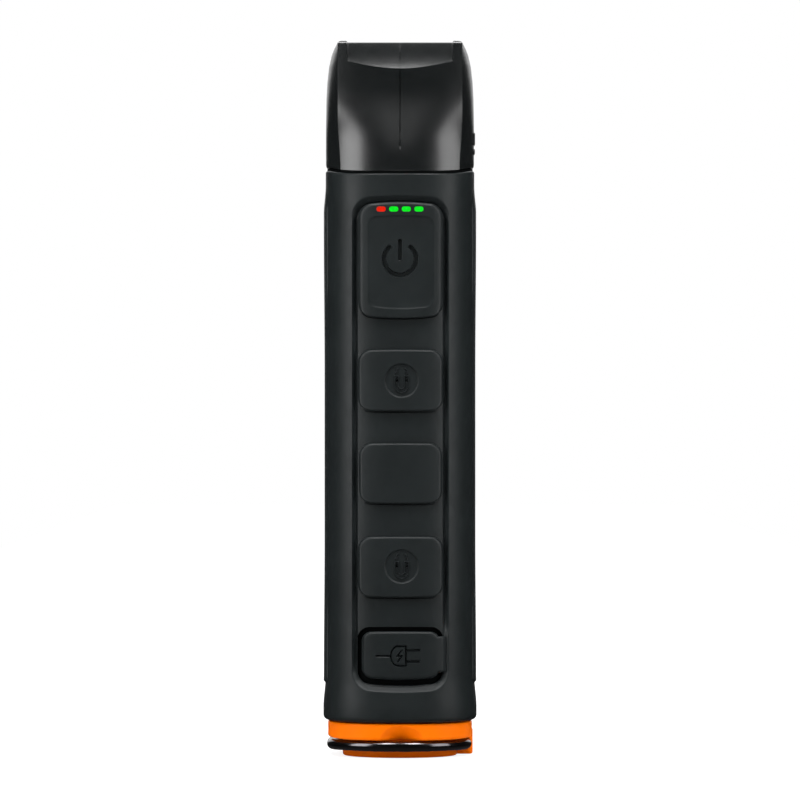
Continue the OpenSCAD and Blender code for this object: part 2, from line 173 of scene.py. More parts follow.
class Outline:
    """A rounded rectangle on the control face whose upper and lower ends crown outward."""

    def __init__(self, x0, x1, z0, z1, corner, top=0.0, low=0.0):
        self.x0, self.x1, self.z0, self.z1 = x0, x1, z0, z1
        self.corner, self.top, self.low = corner, top, low
        self.middle, self.half = (x0 + x1) / 2.0, (x1 - x0) / 2.0

    def ends(self, x):
        """Lowest and highest z of the outline at x."""
        across = np.abs(x - self.middle)
        t = (across / self.half) ** 2
        into = np.clip(across - (self.half - self.corner), 0.0, self.corner)
        drop = self.corner - np.sqrt(np.maximum(self.corner ** 2 - into ** 2, 0.0))
        return self.z0 + self.low * t + drop, self.z1 - self.top * t - drop

    def inside(self, x, z):
        """Distance inside the outline, which is negative outside it."""
        across = np.abs(x - self.middle)
        t = np.minimum((across / self.half) ** 2, 1.4)
        low, high = self.z0 + self.low * t, self.z1 - self.top * t
        qx = across - self.half + self.corner
        qz = np.abs(z - (low + high) / 2.0) - (high - low) / 2.0 + self.corner
        outer = np.hypot(np.maximum(qx, 0.0), np.maximum(qz, 0.0))
        return self.corner - outer - np.minimum(np.maximum(qx, qz), 0.0)

    def grown(self, grow):
        """The same outline moved outward by a distance."""
        return Outline(self.x0 - grow, self.x1 + grow, self.z0 - grow, self.z1 + grow,
                       self.corner + grow, self.top, self.low)

    def loop(self):
        """The outline as points, anticlockwise seen from the control face."""
        turn = 0.5 - 0.5 * np.cos(np.linspace(0.0, math.pi, 60))
        xs = self.x0 + (self.x1 - self.x0) * turn
        low, high = self.ends(xs)
        return np.vstack([np.column_stack([xs, low]), np.column_stack([xs[::-1], high[::-1]])])


# ---- meshes ----

class Shape:
    """Points in millimetres and the faces between them."""

    def __init__(self):
        self.points, self.faces = [], []

    def add(self, points):
        start = len(self.points)
        self.points.extend(np.asarray(points, float).reshape(-1, 3).tolist())
        return start

    def sheet(self, grid, wrap=False):
        """A grid of points, rows by columns, joined by four-sided faces."""
        rows, columns = grid.shape[:2]
        start = self.add(grid)
        index = start + np.arange(rows * columns).reshape(rows, columns)
        self.join(index, wrap)
        return index

    def join(self, index, wrap=False):
        right = np.roll(index, -1, axis=1) if wrap else index[:, 1:]
        left = index if wrap else index[:, :-1]
        quads = np.stack([left[:-1], right[:-1], right[1:], left[1:]], axis=-1)
        self.faces.extend(quads.reshape(-1, 4).tolist())

    def strip(self, first, second, wrap=True):
        """Faces between two lines of point numbers of the same length."""
        self.join(np.array([first, second]), wrap)

    def cap(self, ring):
        self.faces.append([int(i) for i in ring])

    def loft(self, rings):
        """A closed solid through closed rings of the same number of points."""
        index = self.sheet(np.array(rings), wrap=True)
        self.cap(index[0][::-1])
        self.cap(index[-1])
        return self


def to_object(name, shape, material=None, sharp=32.0):
    """A scene object with the shape's mesh, in metres, its doubled points merged."""
    mesh = bpy.data.meshes.new(name)
    mesh.from_pydata((np.array(shape.points) * MM).tolist(), [], shape.faces)
    solid = bmesh.new()
    solid.from_mesh(mesh)
    bmesh.ops.remove_doubles(solid, verts=solid.verts, dist=1e-7)
    bmesh.ops.recalc_face_normals(solid, faces=solid.faces)
    solid.to_mesh(mesh)
    solid.free()
    made = bpy.data.objects.new(name, mesh)
    bpy.context.scene.collection.objects.link(made)
    if material is not None:
        mesh.materials.append(material)
    soften(made, sharp)
    return made


def soften(made, sharp=32.0):
    """Smooth shading with edges kept sharp above an angle in degrees."""
    mesh = made.data
    mesh.polygons.foreach_set("use_smooth", [True] * len(mesh.polygons))
    mesh.set_sharp_from_angle(angle=math.radians(sharp))
    mesh.update()


def carve(made, tool_shape, operation="DIFFERENCE"):
    """Cuts the tool's solid out of a piece, or joins it on, and keeps the result as its mesh."""
    tool = to_object(made.name + "_tool", tool_shape)
    cut = made.modifiers.new("carve", "BOOLEAN")
    cut.operation, cut.solver, cut.object = operation, "EXACT", tool
    bpy.context.view_layer.update()
    result = bpy.data.meshes.new_from_object(
        made.evaluated_get(bpy.context.evaluated_depsgraph_get()))
    made.modifiers.clear()
    old, made.data = made.data, result
    bpy.data.meshes.remove(old)
    old_tool = tool.data
    bpy.data.objects.remove(tool)
    bpy.data.meshes.remove(old_tool)
    if not result.polygons:
        raise RuntimeError(made.name + ": nothing was left after a cut")
    soften(made)


def finish_piece(made, body, slot, *nodes):
    """Says which body a piece rides on and hides the nodes that it stands for. Its slot is not used."""
    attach(made, body)
    if nodes:
        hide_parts(*nodes)


def upright(loop, y0, y1):
    """A solid that stands on an outline of x and z and runs along y."""
    return Shape().loft([[(x, y, z) for x, z in loop] for y in (y0, y1)])


def rod(axis, centre, radius, start, end, count=48):
    """A solid round bar along an axis."""
    angle = np.linspace(0.0, 2.0 * math.pi, count, endpoint=False)
    u, v = centre[0] + radius * np.cos(angle), centre[1] + radius * np.sin(angle)
    order = {"x": (2, 0, 1), "y": (0, 2, 1), "z": (0, 1, 2)}[axis]
    rings = []
    for along in (start, end):
        columns = (u, v, np.full(count, along))
        rings.append(np.column_stack([columns[i] for i in order]))
    return Shape().loft(rings)


def stacked(loop, stages, axis):
    """A closed solid through copies of an outline, with a level along the axis and an inset for each.
    The axis counts from 0 for x."""
    normal = outline_normals(loop)
    return Shape().loft([np.insert(loop - normal * inset, axis, level, axis=1)
                         for level, inset in stages])


def edge_stages(low, high, edge_low, edge_high, steps, between=()):
    """Levels and insets of a solid whose lower and upper edges are rounded over."""
    turn = np.linspace(0.0, math.pi / 2.0, steps)
    stages = [(low + edge_low * (1.0 - math.cos(t)), edge_low * (1.0 - math.sin(t))) for t in turn]
    stages += [(level, 0.0) for level in between]
    stages += [(high - edge_high * (1.0 - math.cos(t)), edge_high * (1.0 - math.sin(t)))
               for t in turn[::-1]]
    return stages


def rounded_prism(loop, low, high, edge_low, edge_high):
    """A solid on an outline of x and y, with its lower and upper edges rounded over."""
    return stacked(loop, edge_stages(low, high, edge_low, edge_high, 5), 2)


def stations(low, high, ends, fine, step, coarse, extra=()):
    """Places for grid lines: at set distances in from both ends, close together over the fine
    span and further apart between, without lines that nearly coincide."""
    inner_low, inner_high = low + max(ends), high - max(ends)
    fine_low, fine_high = fine if fine else (inner_low, inner_low)
    lines = [low + e for e in ends] + [high - e for e in ends]
    lines += list(np.linspace(fine_low, fine_high, max(2, int((fine_high - fine_low) / step) + 1)))
    for start, stop in ((inner_low, fine_low), (fine_high, inner_high)):
        if stop - start > coarse:
            lines += list(np.linspace(start, stop, int((stop - start) / coarse) + 2))
    lines = sorted(lines + list(extra))
    kept = [lines[0]]
    for line in lines[1:]:
        if line - kept[-1] > 0.02:
            kept.append(line)
    kept[-1] = high
    return np.array(kept)


def relief(outline, face, back, edge_width, edge_drop, height=None, fine=None, step=0.14,
           coarse=0.7, extra=((), ()), reach=None, low_width=None):
    """A block on the control face. Its front follows the section whose half sizes face gives, has
    rounded edges and carries the raised or sunk pattern of height. Its back is flat at a depth, or
    a sheet where back is a function of x. The rounding follows the distance that reach gives, or
    the outline's own, and is low_width wide along the lower end where that is given."""
    turn = np.radians(np.arange(0.0, 91.0, 15.0))
    soft = list(edge_width * (1.0 - np.cos(turn)))
    corner = list(outline.corner * (1.0 - np.sin(turn)))
    fine_x, fine_z = fine if fine else (None, None)
    xs = stations(outline.x0, outline.x1, soft + corner, fine_x, step, coarse, extra[0])
    zs = stations(outline.z0, outline.z1, soft, fine_z, step, coarse, extra[1])
    # The crowned ends move the lines beyond these two heights and leave those between them straight
    low_pin, high_pin = fine_z if fine_z else (
        outline.z0 * 0.55 + outline.z1 * 0.45, outline.z0 * 0.45 + outline.z1 * 0.55)
    low, high = outline.ends(xs)
    x = np.tile(xs, (len(zs), 1))
    base = np.tile(zs[:, None], (1, len(xs)))
    rise = (base - high_pin) * (high - high_pin) / (outline.z1 - high_pin)
    fall = (low_pin - base) * (low_pin - low) / (low_pin - outline.z0)
    z = np.where(base > high_pin, high_pin + rise, np.where(base < low_pin, low_pin - fall, base))
    inside = np.maximum((reach or outline.inside)(x, z), 0.0)
    inside[0], inside[-1], inside[:, 0] = 0.0, 0.0, 0.0
    if reach is None:
        inside[:, -1] = 0.0
    share = 1.0
    if low_width:
        share = low_width / edge_width
        share = share + (1.0 - share) * ease(outline.z0 + edge_width, outline.z0 + 4.0, z)
    raised = height(x, z) if height else 0.0
    y = rounding(inside, edge_width * share, edge_drop * share) - face_depth(x, *face) - raised
    shape = Shape()

    def around(grid):
        return np.concatenate([grid[0, :-1], grid[:-1, -1], grid[-1, :0:-1], grid[:0:-1, 0]])

    rim = around(shape.sheet(np.stack([x, y, z], axis=-1)))
    if callable(back):
        rear = shape.sheet(np.stack([x, back(x), z], axis=-1))
        shape.strip(rim, around(rear))
        return shape
    rim_points = np.array([shape.points[i] for i in rim])
    rim_points[:, 1] = back
    rear = shape.add(rim_points) + np.arange(len(rim))
    shape.strip(rim, rear)
    shape.cap(rear)
    return shape


# ---- marks pressed into the rubber ----

def capsule(x, z, start, end, half):
    """Distance to a round-ended line, negative inside it."""
    start, end = np.array(start), np.array(end)
    run = end - start
    t = np.clip(((x - start[0]) * run[0] + (z - start[1]) * run[1]) / max(run @ run, 1e-9), 0, 1)
    return np.hypot(x - start[0] - t * run[0], z - start[1] - t * run[1]) - half


def sunk(distance, depth, wall=0.16):
    """Depth of a mark with sloped walls, from the distance to its edge."""
    return -depth * ramp(-distance / wall, 0.18)


def power_mark(x, z, middle, depth):
    """A ring that is open at its top, with a bar standing in the gap."""
    u, v = np.abs(x), z - middle
    gap, mid, half = math.radians(41.0), 4.95, 0.7
    round_end = np.hypot(u - mid * math.sin(gap), v - mid * math.cos(gap))
    ring = np.where(np.arctan2(u, v) > gap, np.abs(np.hypot(u, v) - mid), round_end) - half
    bar = capsule(u, v, (0.0, 0.1), (0.0, 5.6), 0.66)
    return sunk(np.minimum(ring, bar), depth)


def magnet_mark(x, z, cx, cz, depth):
    """A sunk disc with a horseshoe magnet in raised outline, a pit in each of its legs and two lines
    of pull at each pole."""
    u, v = np.abs(x - cx), z - cz
    floor = 0.55 * depth
    disc = sunk(np.hypot(u, v) - 5.35, floor, 0.4)
    leg_mid, leg_half, bend, pole = 1.5, 0.68, -1.6, 1.5
    legs = np.where(v > bend, np.abs(u - leg_mid), np.abs(np.hypot(u, v - bend) - leg_mid))
    shoe = np.maximum(legs - leg_half, v - pole)
    raised = ramp((0.18 - np.abs(shoe + 0.1)) / 0.14, 0.15)
    pits = sunk(np.hypot(u - leg_mid, v) - 0.42, 0.6, 0.14)
    pull = np.minimum(capsule(u, v, (1.1, 3.75), (1.45, 3.3), 0.24),
                      capsule(u, v, (1.5, 2.75), (1.8, 2.35), 0.24))
    raised = np.maximum(raised, ramp(-pull / 0.16, 0.15))
    return disc + raised * floor * 0.95 + pits


def charging_mark(x, z, cx, cz, depth):
    """A plug on its lead with a charging flash in it."""
    u, v = x - cx, z - cz
    half, bend, line = 3.3, -0.4, 0.3
    body = np.where(u < bend, np.hypot((u - bend) * 1.35, v), np.abs(v)) - half
    body = np.maximum(body, u - 2.3)
    mark = np.abs(body + line) - line
    lines = [((-7.0, 0.0), (-3.0, 0.0), 0.32)]
    lines += [((2.4, side), (6.1, side), 0.42) for side in (-1.75, 1.75)]
    flash = ((0.75, 1.75), (-0.65, -0.1), (0.85, 0.1), (-0.45, -1.75))
    lines += [(start, end, 0.24) for start, end in zip(flash, flash[1:])]
    for start, end, thick in lines:
        mark = np.minimum(mark, capsule(u, v, start, end, thick))
    return sunk(mark, depth, 0.2)


# ---- finishes ----

def add_node(tree, kind, values=None, links=None):
    """A new node with its inputs set and linked, by the input's name or number."""
    node = tree.nodes.new(kind)
    for socket, value in (values or {}).items():
        node.inputs[socket].default_value = value
    for socket, source in (links or {}).items():
        tree.links.new(source, node.inputs[socket])
    return node


class Finish:
    """A node material under construction."""

    def __init__(self, name):
        self.material = bpy.data.materials.new(name)
        self.material.use_nodes = True
        self.tree = self.material.node_tree
        self.shader = self.tree.nodes["Principled BSDF"]
        self.place = self.tree.nodes.new("ShaderNodeTexCoord").outputs["Object"]

    def put(self, socket, value):
        self.shader.inputs[socket].default_value = value
        return self

    def drive(self, out, socket):
        """Links a node's output to one of the shader's inputs."""
        self.tree.links.new(out, self.shader.inputs[socket])

    def noise(self, scale, detail=3.0, stretch=None):
        place = self.place
        if stretch:
            mapping = add_node(self.tree, "ShaderNodeMapping", {"Scale": stretch}, {"Vector": place})
            place = mapping.outputs["Vector"]
        values = {"Scale": scale, "Detail": detail, "Roughness": 0.55}
        return add_node(self.tree, "ShaderNodeTexNoise", values, {"Vector": place}).outputs["Fac"]

    def cells(self, scale):
        node = add_node(self.tree, "ShaderNodeTexVoronoi", {"Scale": scale}, {"Vector": self.place})
        return node.outputs["Distance"]

    def tints(self, source, dark, light, low=0.35, high=0.65, socket="Base Color"):
        """A colour that runs from dark to light as the source runs from low to high."""
        node = add_node(self.tree, "ShaderNodeValToRGB", links={"Fac": source})
        for element, place, colour in zip(node.color_ramp.elements, (low, high), (dark, light)):
            element.position, element.color = place, (*colour, 1)
        self.drive(node.outputs["Color"], socket)

    def gloss(self, source, low, high):
        """A roughness that runs from low to high with the source."""
        values = {"From Min": 0.3, "From Max": 0.7, "To Min": low, "To Max": high}
        node = add_node(self.tree, "ShaderNodeMapRange", values, {"Value": source})
        self.drive(node.outputs["Result"], "Roughness")

    def bumps(self, *layers):
        """Layers of (source, strength, height in metres), each on top of the last."""
        links = {}
        for source, strength, depth in layers:
            node = add_node(self.tree, "ShaderNodeBump", {"Strength": strength, "Distance": depth},
                            {"Height": source, **links})
            links = {"Normal": node.outputs["Normal"]}
        self.drive(links["Normal"], "Normal")


def shades(colour, spread):
    """A darker and a lighter version of a colour."""
    colour = tuple(colour)[:3]
    return tuple(c * (1.0 - spread) for c in colour), tuple(min(1.0, c * (1.0 + spread)) for c in colour)


def moulded(name, colour, spread, rough, level, grain, grain_depth, uneven=0.05):
    """A moulded rubber or plastic: faint mottling, a fine moulded grain and uneven gloss."""
    made = Finish(name)
    made.tints(made.noise(90.0, 4.0), *shades(colour, spread))
    made.gloss(made.noise(207.0), rough - uneven, rough + uneven)
    made.put("Specular IOR Level", level)
    made.bumps((made.noise(grain, 2.0), 0.6, grain_depth),
               (made.cells(grain * 0.45), 0.25, grain_depth * 0.7))
    return made.material


def polished_metal(name, colour, rough, spread=0.06, streak=(1.0, 1.0, 0.06)):
    """Metal with faint streaks along the lamp, or none where the streak is even."""
    made = Finish(name)
    made.put("Metallic", 1.0)
    made.tints(made.noise(700.0, 2.0, streak), *shades(colour, spread))
    made.gloss(made.noise(1600.0, 3.0, streak), rough * 0.8, rough * 1.25)
    made.bumps((made.noise(2500.0, 2.0, streak), 0.15, 0.00001))
    return made.material


def clear_plastic(name):
    made = Finish(name)
    made.put("Transmission Weight", 1.0).put("IOR", 1.5)
    made.tints(made.noise(60.0, 2.0), (0.93, 0.95, 0.96), (0.97, 0.98, 0.98))
    made.gloss(made.noise(300.0, 2.0), 0.02, 0.06)
    made.bumps((made.noise(900.0, 2.0), 0.03, 0.00001))
    return made.material


def lit_window(name, colour):
    """A small light guide that is lit from behind."""
    made = Finish(name)
    dark, light = shades(colour, 0.12)
    made.tints(made.noise(1500.0, 2.0), dark, light, socket="Emission Color")
    made.tints(made.noise(800.0, 2.0), tuple(c * 0.08 for c in dark), tuple(c * 0.1 for c in light))
    made.put("Emission Strength", 1.0).put("Roughness", 0.35).put("Specular IOR Level", 0.12)
    return made.material


def phosphor(name):
    """The yellow coat over the light chips."""
    made = Finish(name)
    made.tints(made.cells(420.0), (0.95, 0.72, 0.10), (0.80, 0.52, 0.04), 0.2, 0.8)
    made.gloss(made.noise(500.0, 2.0), 0.45, 0.6)
    made.bumps((made.cells(420.0), 0.5, 0.0002))
    return made.material


def board(name, colour):
    """A circuit board's or a chip's coated face."""
    made = Finish(name)
    made.tints(made.cells(320.0), *shades(colour, 0.25))
    made.gloss(made.noise(400.0, 2.0), 0.3, 0.5)
    made.bumps((made.cells(900.0), 0.4, 0.00005))
    return made.material


def wrapped_cell(name):
    """The battery cell's shrunk sleeve."""
    made = Finish(name)
    made.tints(made.noise(30.0, 3.0, (1, 1, 0.2)), (0.02, 0.09, 0.28), (0.03, 0.13, 0.36))
    made.gloss(made.noise(200.0, 2.0), 0.25, 0.4)
    made.bumps((made.noise(260.0, 2.0, (1, 1, 0.1)), 0.3, 0.0001))
    return made.material


def recipes():
    """What makes each of the record's finishes, and with which values."""
    c = colours()
    rubber = (c.rubber, 0.10, 0.42, 0.235)
    return {
        "sleeve_rubber": (moulded, *rubber, 5200.0, 0.00004),
        "pad_rubber": (moulded, *rubber, 5600.0, 0.00004),
        "button_rubber": (moulded, *rubber, 5600.0, 0.00003),
        # The seal rubber is far darker than the sleeve's rubber: partly the seals' own black and partly
        # painted shade, so that they show as the black shadow in the groove round the flap and in the
        # seam under the head.
        "seal_rubber": (moulded, shades(c.rubber, 0.85)[0], 0.1, 0.8, 0.04, 4000.0, 0.00004),
        "housing_plastic": (moulded, c.plastic, 0.08, 0.42, 0.4, 3600.0, 0.00003),
        "head_plastic": (moulded, c.plastic, 0.08, 0.25, 0.82, 5200.0, 0.000012, 0.015),
        "orange_plastic": (moulded, c.orange, 0.03, 0.34, 0.05, 3000.0, 0.00002),
        "reflector_plastic": (moulded, (0.82, 0.82, 0.80), 0.03, 0.35, 0.5, 1500.0, 0.00002),
        "lead_sleeving": (moulded, (0.55, 0.02, 0.02), 0.1, 0.45, 0.4, 1500.0, 0.00003),
        "clear_lens": (clear_plastic,),
        "red_window": (lit_window, c.red_light),
        "green_window": (lit_window, c.green_light),
        "led_phosphor": (phosphor,),
        "led_chip": (board, (0.75, 0.72, 0.55)),
        "green_board": (board, (0.02, 0.16, 0.06)),
        "white_board": (board, (0.72, 0.72, 0.70)),
        "cell_wrap": (wrapped_cell,),
        "bright_reflector": (polished_metal, (0.90, 0.90, 0.90), 0.08),
        "aluminium": (polished_metal, (0.72, 0.73, 0.74), 0.35, 0.08),
        "terminal_metal": (polished_metal, (0.80, 0.77, 0.66), 0.28),
        "magnet_metal": (polished_metal, (0.62, 0.62, 0.63), 0.22),
        "plain_steel": (polished_metal, (0.56, 0.56, 0.57), 0.30),
        "dark_chrome": (polished_metal, c.wire, 0.16, 0.05, (1.0, 1.0, 1.0)),
    }


_made = {}


def finish(name):
    """The material of one of the record's slots, made once."""
    if name not in _made:
        maker, *values = recipes()[name]
        _made[name] = maker(name, *values)
    return _made[name]


# ---- the rubber sleeve ----

def seam_shift(y, z, near, far):
    """How far a point is lifted, so that the seam rises from the control face towards the sides. It is
    the whole rise at the height near and nothing at the height far."""
    return SEAM_RISE * ease(-HALF_DEPTH, -5.0, y) * ease(far, near, z)


def close_wall(shape, outer, y, inner, levels):
    """Gives a wall's outer sheet a smooth inner side, and closes its ends and its long edges."""
    ends = []
    for level in levels:
        lift = seam_shift(y, level, SLEEVE_TOP, SEAM_FADE_LOW)
        ends.append(shape.add(np.column_stack([inner, level + lift])) + np.arange(len(y)))
    low, top = ends
    shape.strip(outer[0], low, wrap=False)
    shape.strip(top, outer[-1], wrap=False)
    shape.strip(low, top, wrap=False)
    shape.cap(np.concatenate([outer[:, 0], [top[0], low[0]]]))
    shape.cap(np.concatenate([outer[::-1, -1], [low[-1], top[-1]]]))


def sleeve_columns():
    """Points of the sleeve's section, with close spacing at the channel's walls."""
    wall = np.arange(12.6, 15.45, 0.15)
    middle = np.arange(8.0, 12.5, 0.4)
    middle = np.concatenate([-middle[::-1], np.linspace(-8.0, 8.0, 21)[1:-1], middle])
    outer = np.linspace(15.6, 19.5, 9)
    front = np.concatenate([-outer[::-1], -wall[::-1], middle, wall, outer])
    front_y = -face_depth(front)
    side_y = np.linspace(front_y[-1], SLEEVE_REAR, 50)[1:]
    side_x = face_depth(side_y, HALF_DEPTH, HALF_WIDTH)
    x = np.concatenate([-side_x[::-1], front, side_x])
    y = np.concatenate([side_y[::-1], front_y, side_y])
    return x, y


def sleeve_rows():
    """Heights of the sleeve's grid lines, close together at its edges and the channel's ends."""
    return np.unique(np.round(np.concatenate([
        [SLEEVE_LOW, 11.48, 11.56, 11.7, 11.9, 12.2, 12.6, 13.2],
        np.arange(14.0, 20.2, 0.75), np.arange(20.2, 30.0, 0.28), np.arange(30.0, 164.0, 2.0),
        np.arange(164.0, 178.0, 0.28),
        [178.5, 179.5, 180.5, 181.0, 181.3, 181.5, 181.66, 181.78, 181.87, SLEEVE_TOP]]), 3))


def grip_height(y, z):
    """The raised grip on each side, with long flutes in it."""
    front, rear, low, high = -7.2, 6.3, 23.0, 177.5
    outlines = [Outline(front, rear, low, high, corner).inside(y, z) for corner in (2.0, 6.5)]
    inside = np.where(z > 100.0, outlines[1], outlines[0])
    flutes = sum(ramp(-capsule(y, z, (middle, 36.0), (middle, 162.0), 0.75) / 0.5, 0.2)
                 for middle in (-4.4, -1.2, 2.0))
    waist = 1.0 - 0.4 * ease(28.0, 70.0, z) * (1.0 - ease(120.0, 165.0, z))
    rise = settings().grip_step * waist * (1.0 - ease(169.0, high, z))
    return rise * (ramp(inside / 0.55, 0.25) - 0.45 * flutes)


def channel_share(x, z):
    """How far down the channel's wall a point is: 0 on the face, 1 on the floor, and more in
    the gutter that runs along the channel's sides."""
    s = settings()
    outline = Outline(CHANNEL_MIDDLE - s.channel_half, CHANNEL_MIDDLE + s.channel_half,
                      CHANNEL_LOW, CHANNEL_TOP, 5.6, 1.0, 1.0)
    inside = outline.inside(x, z)
    # The gutter starts above the flap's web on the right and lower down on the left
    gutter = np.where(x < 0.0, ease(25.5, 31.0, z), ease(39.0, 42.0, z)) * (1.0 - ease(165.0, 171.0, z))
    steep_wall, slope = 1.1, 0.4
    wall = s.channel_wall * (1.0 - gutter) + steep_wall * gutter
    trough = ramp((inside - 0.15) / slope, 0.1)
    trough = trough * (1.0 - ramp((inside - s.channel_wall + slope) / slope, 0.1))
    return ramp(inside / wall, 0.08) + s.gutter_share * gutter * trough


def sleeve_shape():
    """The sleeve: a wall round the front and sides, with the channel pressed into its face."""
    s = settings()
    section_x, section_y = sleeve_columns()
    levels = sleeve_rows()
    x, z = np.meshgrid(section_x, levels)
    y = np.tile(section_y, (len(levels), 1))
    nx, ny = section_normals(x, y)
    grip_start, channel_reach = 19.6, 16.5
    out = s.flare_step * (1.0 - ease(15.0, 25.5, z)) * (1.0 - ease(3.0, 7.6, y))
    out += np.where(np.abs(x) > grip_start, grip_height(y, z), 0.0)
    out -= rounding(z - SLEEVE_LOW, 1.4) + rounding(SLEEVE_TOP - z, 0.6)
    out -= 0.25 * ease(SLEEVE_REAR - 0.7, SLEEVE_REAR, y) ** 2
    px, py = x + nx * out, y + np.where(y > SLEEVE_REAR - 0.5, 0.0, ny * out)
    front = np.abs(x) < channel_reach
    floor = face_depth(x, HALF_WIDTH - s.channel_depth, HALF_DEPTH - s.channel_depth)
    share = np.where(front, channel_share(x, z), 0.0)
    py = np.where(front, py * (1.0 - share) - floor * share, py)
    shape = Shape()
    outer = shape.sheet(np.stack([px, py, z + seam_shift(y, z, SLEEVE_TOP, SEAM_FADE_LOW)], axis=-1))
    inner_a, inner_b = HALF_WIDTH - 2.25, HALF_DEPTH - 3.35
    inner_x = section_x * inner_a / HALF_WIDTH
    inner_y = np.where(section_y > 0, section_y, section_y * inner_b / HALF_DEPTH)
    limit = face_depth(inner_y, inner_b, inner_a)
    inner = np.column_stack([np.clip(inner_x, -limit, limit), inner_y])
    close_wall(shape, outer, section_y, inner, (levels[0], levels[-1]))
    return shape


def build_sleeve():
    s = settings()
    sleeve = to_object("sleeve_moulding", sleeve_shape(), finish("sleeve_rubber"))
    button_floor, pad_floor, groove_floor = -15.75, -16.1, -11.0
    pad_gap, pad_drop = 0.34, (0.0, 0.3)
    carve(sleeve, upright(button_outline(s).grown(s.button_gap).loop(), TOOL_FRONT, button_floor))
    for _, outline, _ in pad_places(s):
        carve(sleeve, upright(outline.grown(pad_gap).loop() - pad_drop, TOOL_FRONT, pad_floor))
    groove = Outline(-13.2, 13.35, 22.95, 41.2, 3.6, 0.2, 0.8)
    carve(sleeve, upright(groove.loop(), TOOL_FRONT, groove_floor))
    finish_piece(sleeve, "lamp", "sleeve_rubber", "rubber_sleeve")
    # The black seal at the bottom of the flap's recess, with the hole that the flap's plug enters. It is
    # painted shade: a near-black sheet laid in the groove round the flap, so that the groove shows as
    # black as its shadow.
    shape = relief(groove.grown(-0.03), (20.6, 16.25), lambda x: -face_depth(x, 21.15, 15.7), 0.05, 0.02)
    seal = to_object("port_seal_painted_shade", shape, finish("seal_rubber"))
    pocket = rounded_rectangle(-5.6, 7.7, 28.2, 36.0, 1.5)
    carve(seal, upright(pocket, TOOL_FRONT, -10.0))
    finish_piece(seal, "lamp", "seal_rubber")


# ---- pads, button and flap ----

def pad_places(s):
    """Node, outline and height of the mark for each of the three pads."""
    rows = (("upper_magnet_pad", s.pad_half, 108.2, 127.3, 117.6),
            ("middle_pad", s.pad_half - 0.3, 79.5, 98.3, None),
            ("lower_magnet_pad", s.pad_half, 50.4, 69.3, 60.0))
    return [(node, Outline(PAD_MIDDLE - half, PAD_MIDDLE + half, low, high, 3.8, 0.2, 0.2), mark)
            for node, half, low, high, mark in rows]


def build_pads():
    s = settings()
    back_a, back_b = (size - PAD_WALL for size in PAD_FACE)
    sign_x, sign_reach = 0.5, 5.6
    for node, outline, mark in pad_places(s):
        pattern = {}
        if mark is not None:
            pattern = {"height": lambda x, z, m=mark: magnet_mark(x, z, sign_x, m, s.mark_depth),
                       "fine": ((sign_x - sign_reach, sign_x + sign_reach),
                                (mark - sign_reach, mark + sign_reach)), "step": 0.11}
        shape = relief(outline, PAD_FACE, lambda x: -face_depth(x, back_a, back_b), s.pad_edge,
                       s.pad_edge, low_width=0.4, **pattern)
        made = to_object(node + "_moulding", shape, finish("pad_rubber"))
        finish_piece(made, "lamp", "pad_rubber", node)


def button_outline(s):
    """The power button's edge on the control face."""
    return Outline(PAD_MIDDLE - s.pad_half, PAD_MIDDLE + s.pad_half, BUTTON_LOW, BUTTON_TOP,
                   3.9, 1.0, 1.0)


def button_height(x, z):
    """The thumb dish, with a step round it that is deepest at its ends, and the power sign."""
    s = settings()
    inside = Outline(*DISH, 2.6, 0.5, 0.9).inside(x, z)
    into = np.clip(inside / 5.5, 0.0, 1.0)
    ends = 0.3 + 0.7 * np.clip(ease(147.0, 142.0, z) + ease(161.5, 166.0, z), 0.0, 1.0)
    bowl = -s.dish_depth * (1.0 - (1.0 - into) ** 2) - s.dish_step * ends * ramp(inside / 0.5, 0.2)
    return bowl + power_mark(x, z, POWER_SIGN_Z, s.mark_depth)


def build_button():
    s = settings()
    edge = np.arange(-0.3, 0.9, 0.13)
    left, right, low, top = DISH
    dish_lines = (np.concatenate([left + edge, right - edge]), np.concatenate([low + edge, top - edge]))
    shape = relief(button_outline(s), PAD_FACE, -16.4, 1.45, 1.1, button_height,
                   ((-5.9, 5.9), (149.3, 161.8)), 0.13, 0.6, dish_lines, low_width=0.5)
    made = to_object("button_cap", shape, finish("button_rubber"))
    carve(made, rod("y", (0.0, 155.0), 2.5, -16.8, -13.5), "UNION")
    finish_piece(made, "button", "button_rubber", "power_button")
    half_width, half_height, proud = 1.5, 0.88, 0.04
    window_face = tuple(size + proud for size in PAD_FACE)
    for place in range(4):
        x = (place - 1.5) * s.window_pitch
        window = Outline(x - half_width, x + half_width, WINDOW_Z - half_height, WINDOW_Z + half_height,
                         0.8)
        shape = relief(window, window_face, -17.6, 0.35, 0.12, step=0.2, coarse=0.25)
        colour = "red_window" if place == 0 else "green_window"
        light = to_object("charge_light_%d" % (place + 1), shape, finish(colour))
        node = "charge_window_red" if place == 0 else "charge_windows_green"
        finish_piece(light, "button", colour, node)


def web_shape():
    """The rubber between the flap's hinge side and the sleeve, drawn in at both its ends."""
    low, high = 27.0, 38.2
    front = np.array([11.4, 11.8, 12.2, 12.6, 12.9, 13.2])
    profile = np.array([*zip(front, 0.03 - face_depth(front, *PAD_FACE)), (13.4, -16.65), (13.8, -16.3),
                        (14.3, -15.8), (14.6, -15.3), (14.1, -14.7), (13.2, -15.4), (12.4, -16.0),
                        (11.4, -16.4)])
    outer_points = 8
    rings = []
    for z in np.concatenate([[low, 27.06, 27.2, 27.45, 27.9], np.arange(28.5, 37.0, 0.6),
                             [37.3, 37.75, 38.0, 38.14, high]]):
        ring = profile.copy()
        ring[:outer_points, 1] += rounding(min(z - low, high - z), 0.6, 0.5)
        rings.append(np.insert(ring, 2, z, axis=1))
    return Shape().loft(rings)


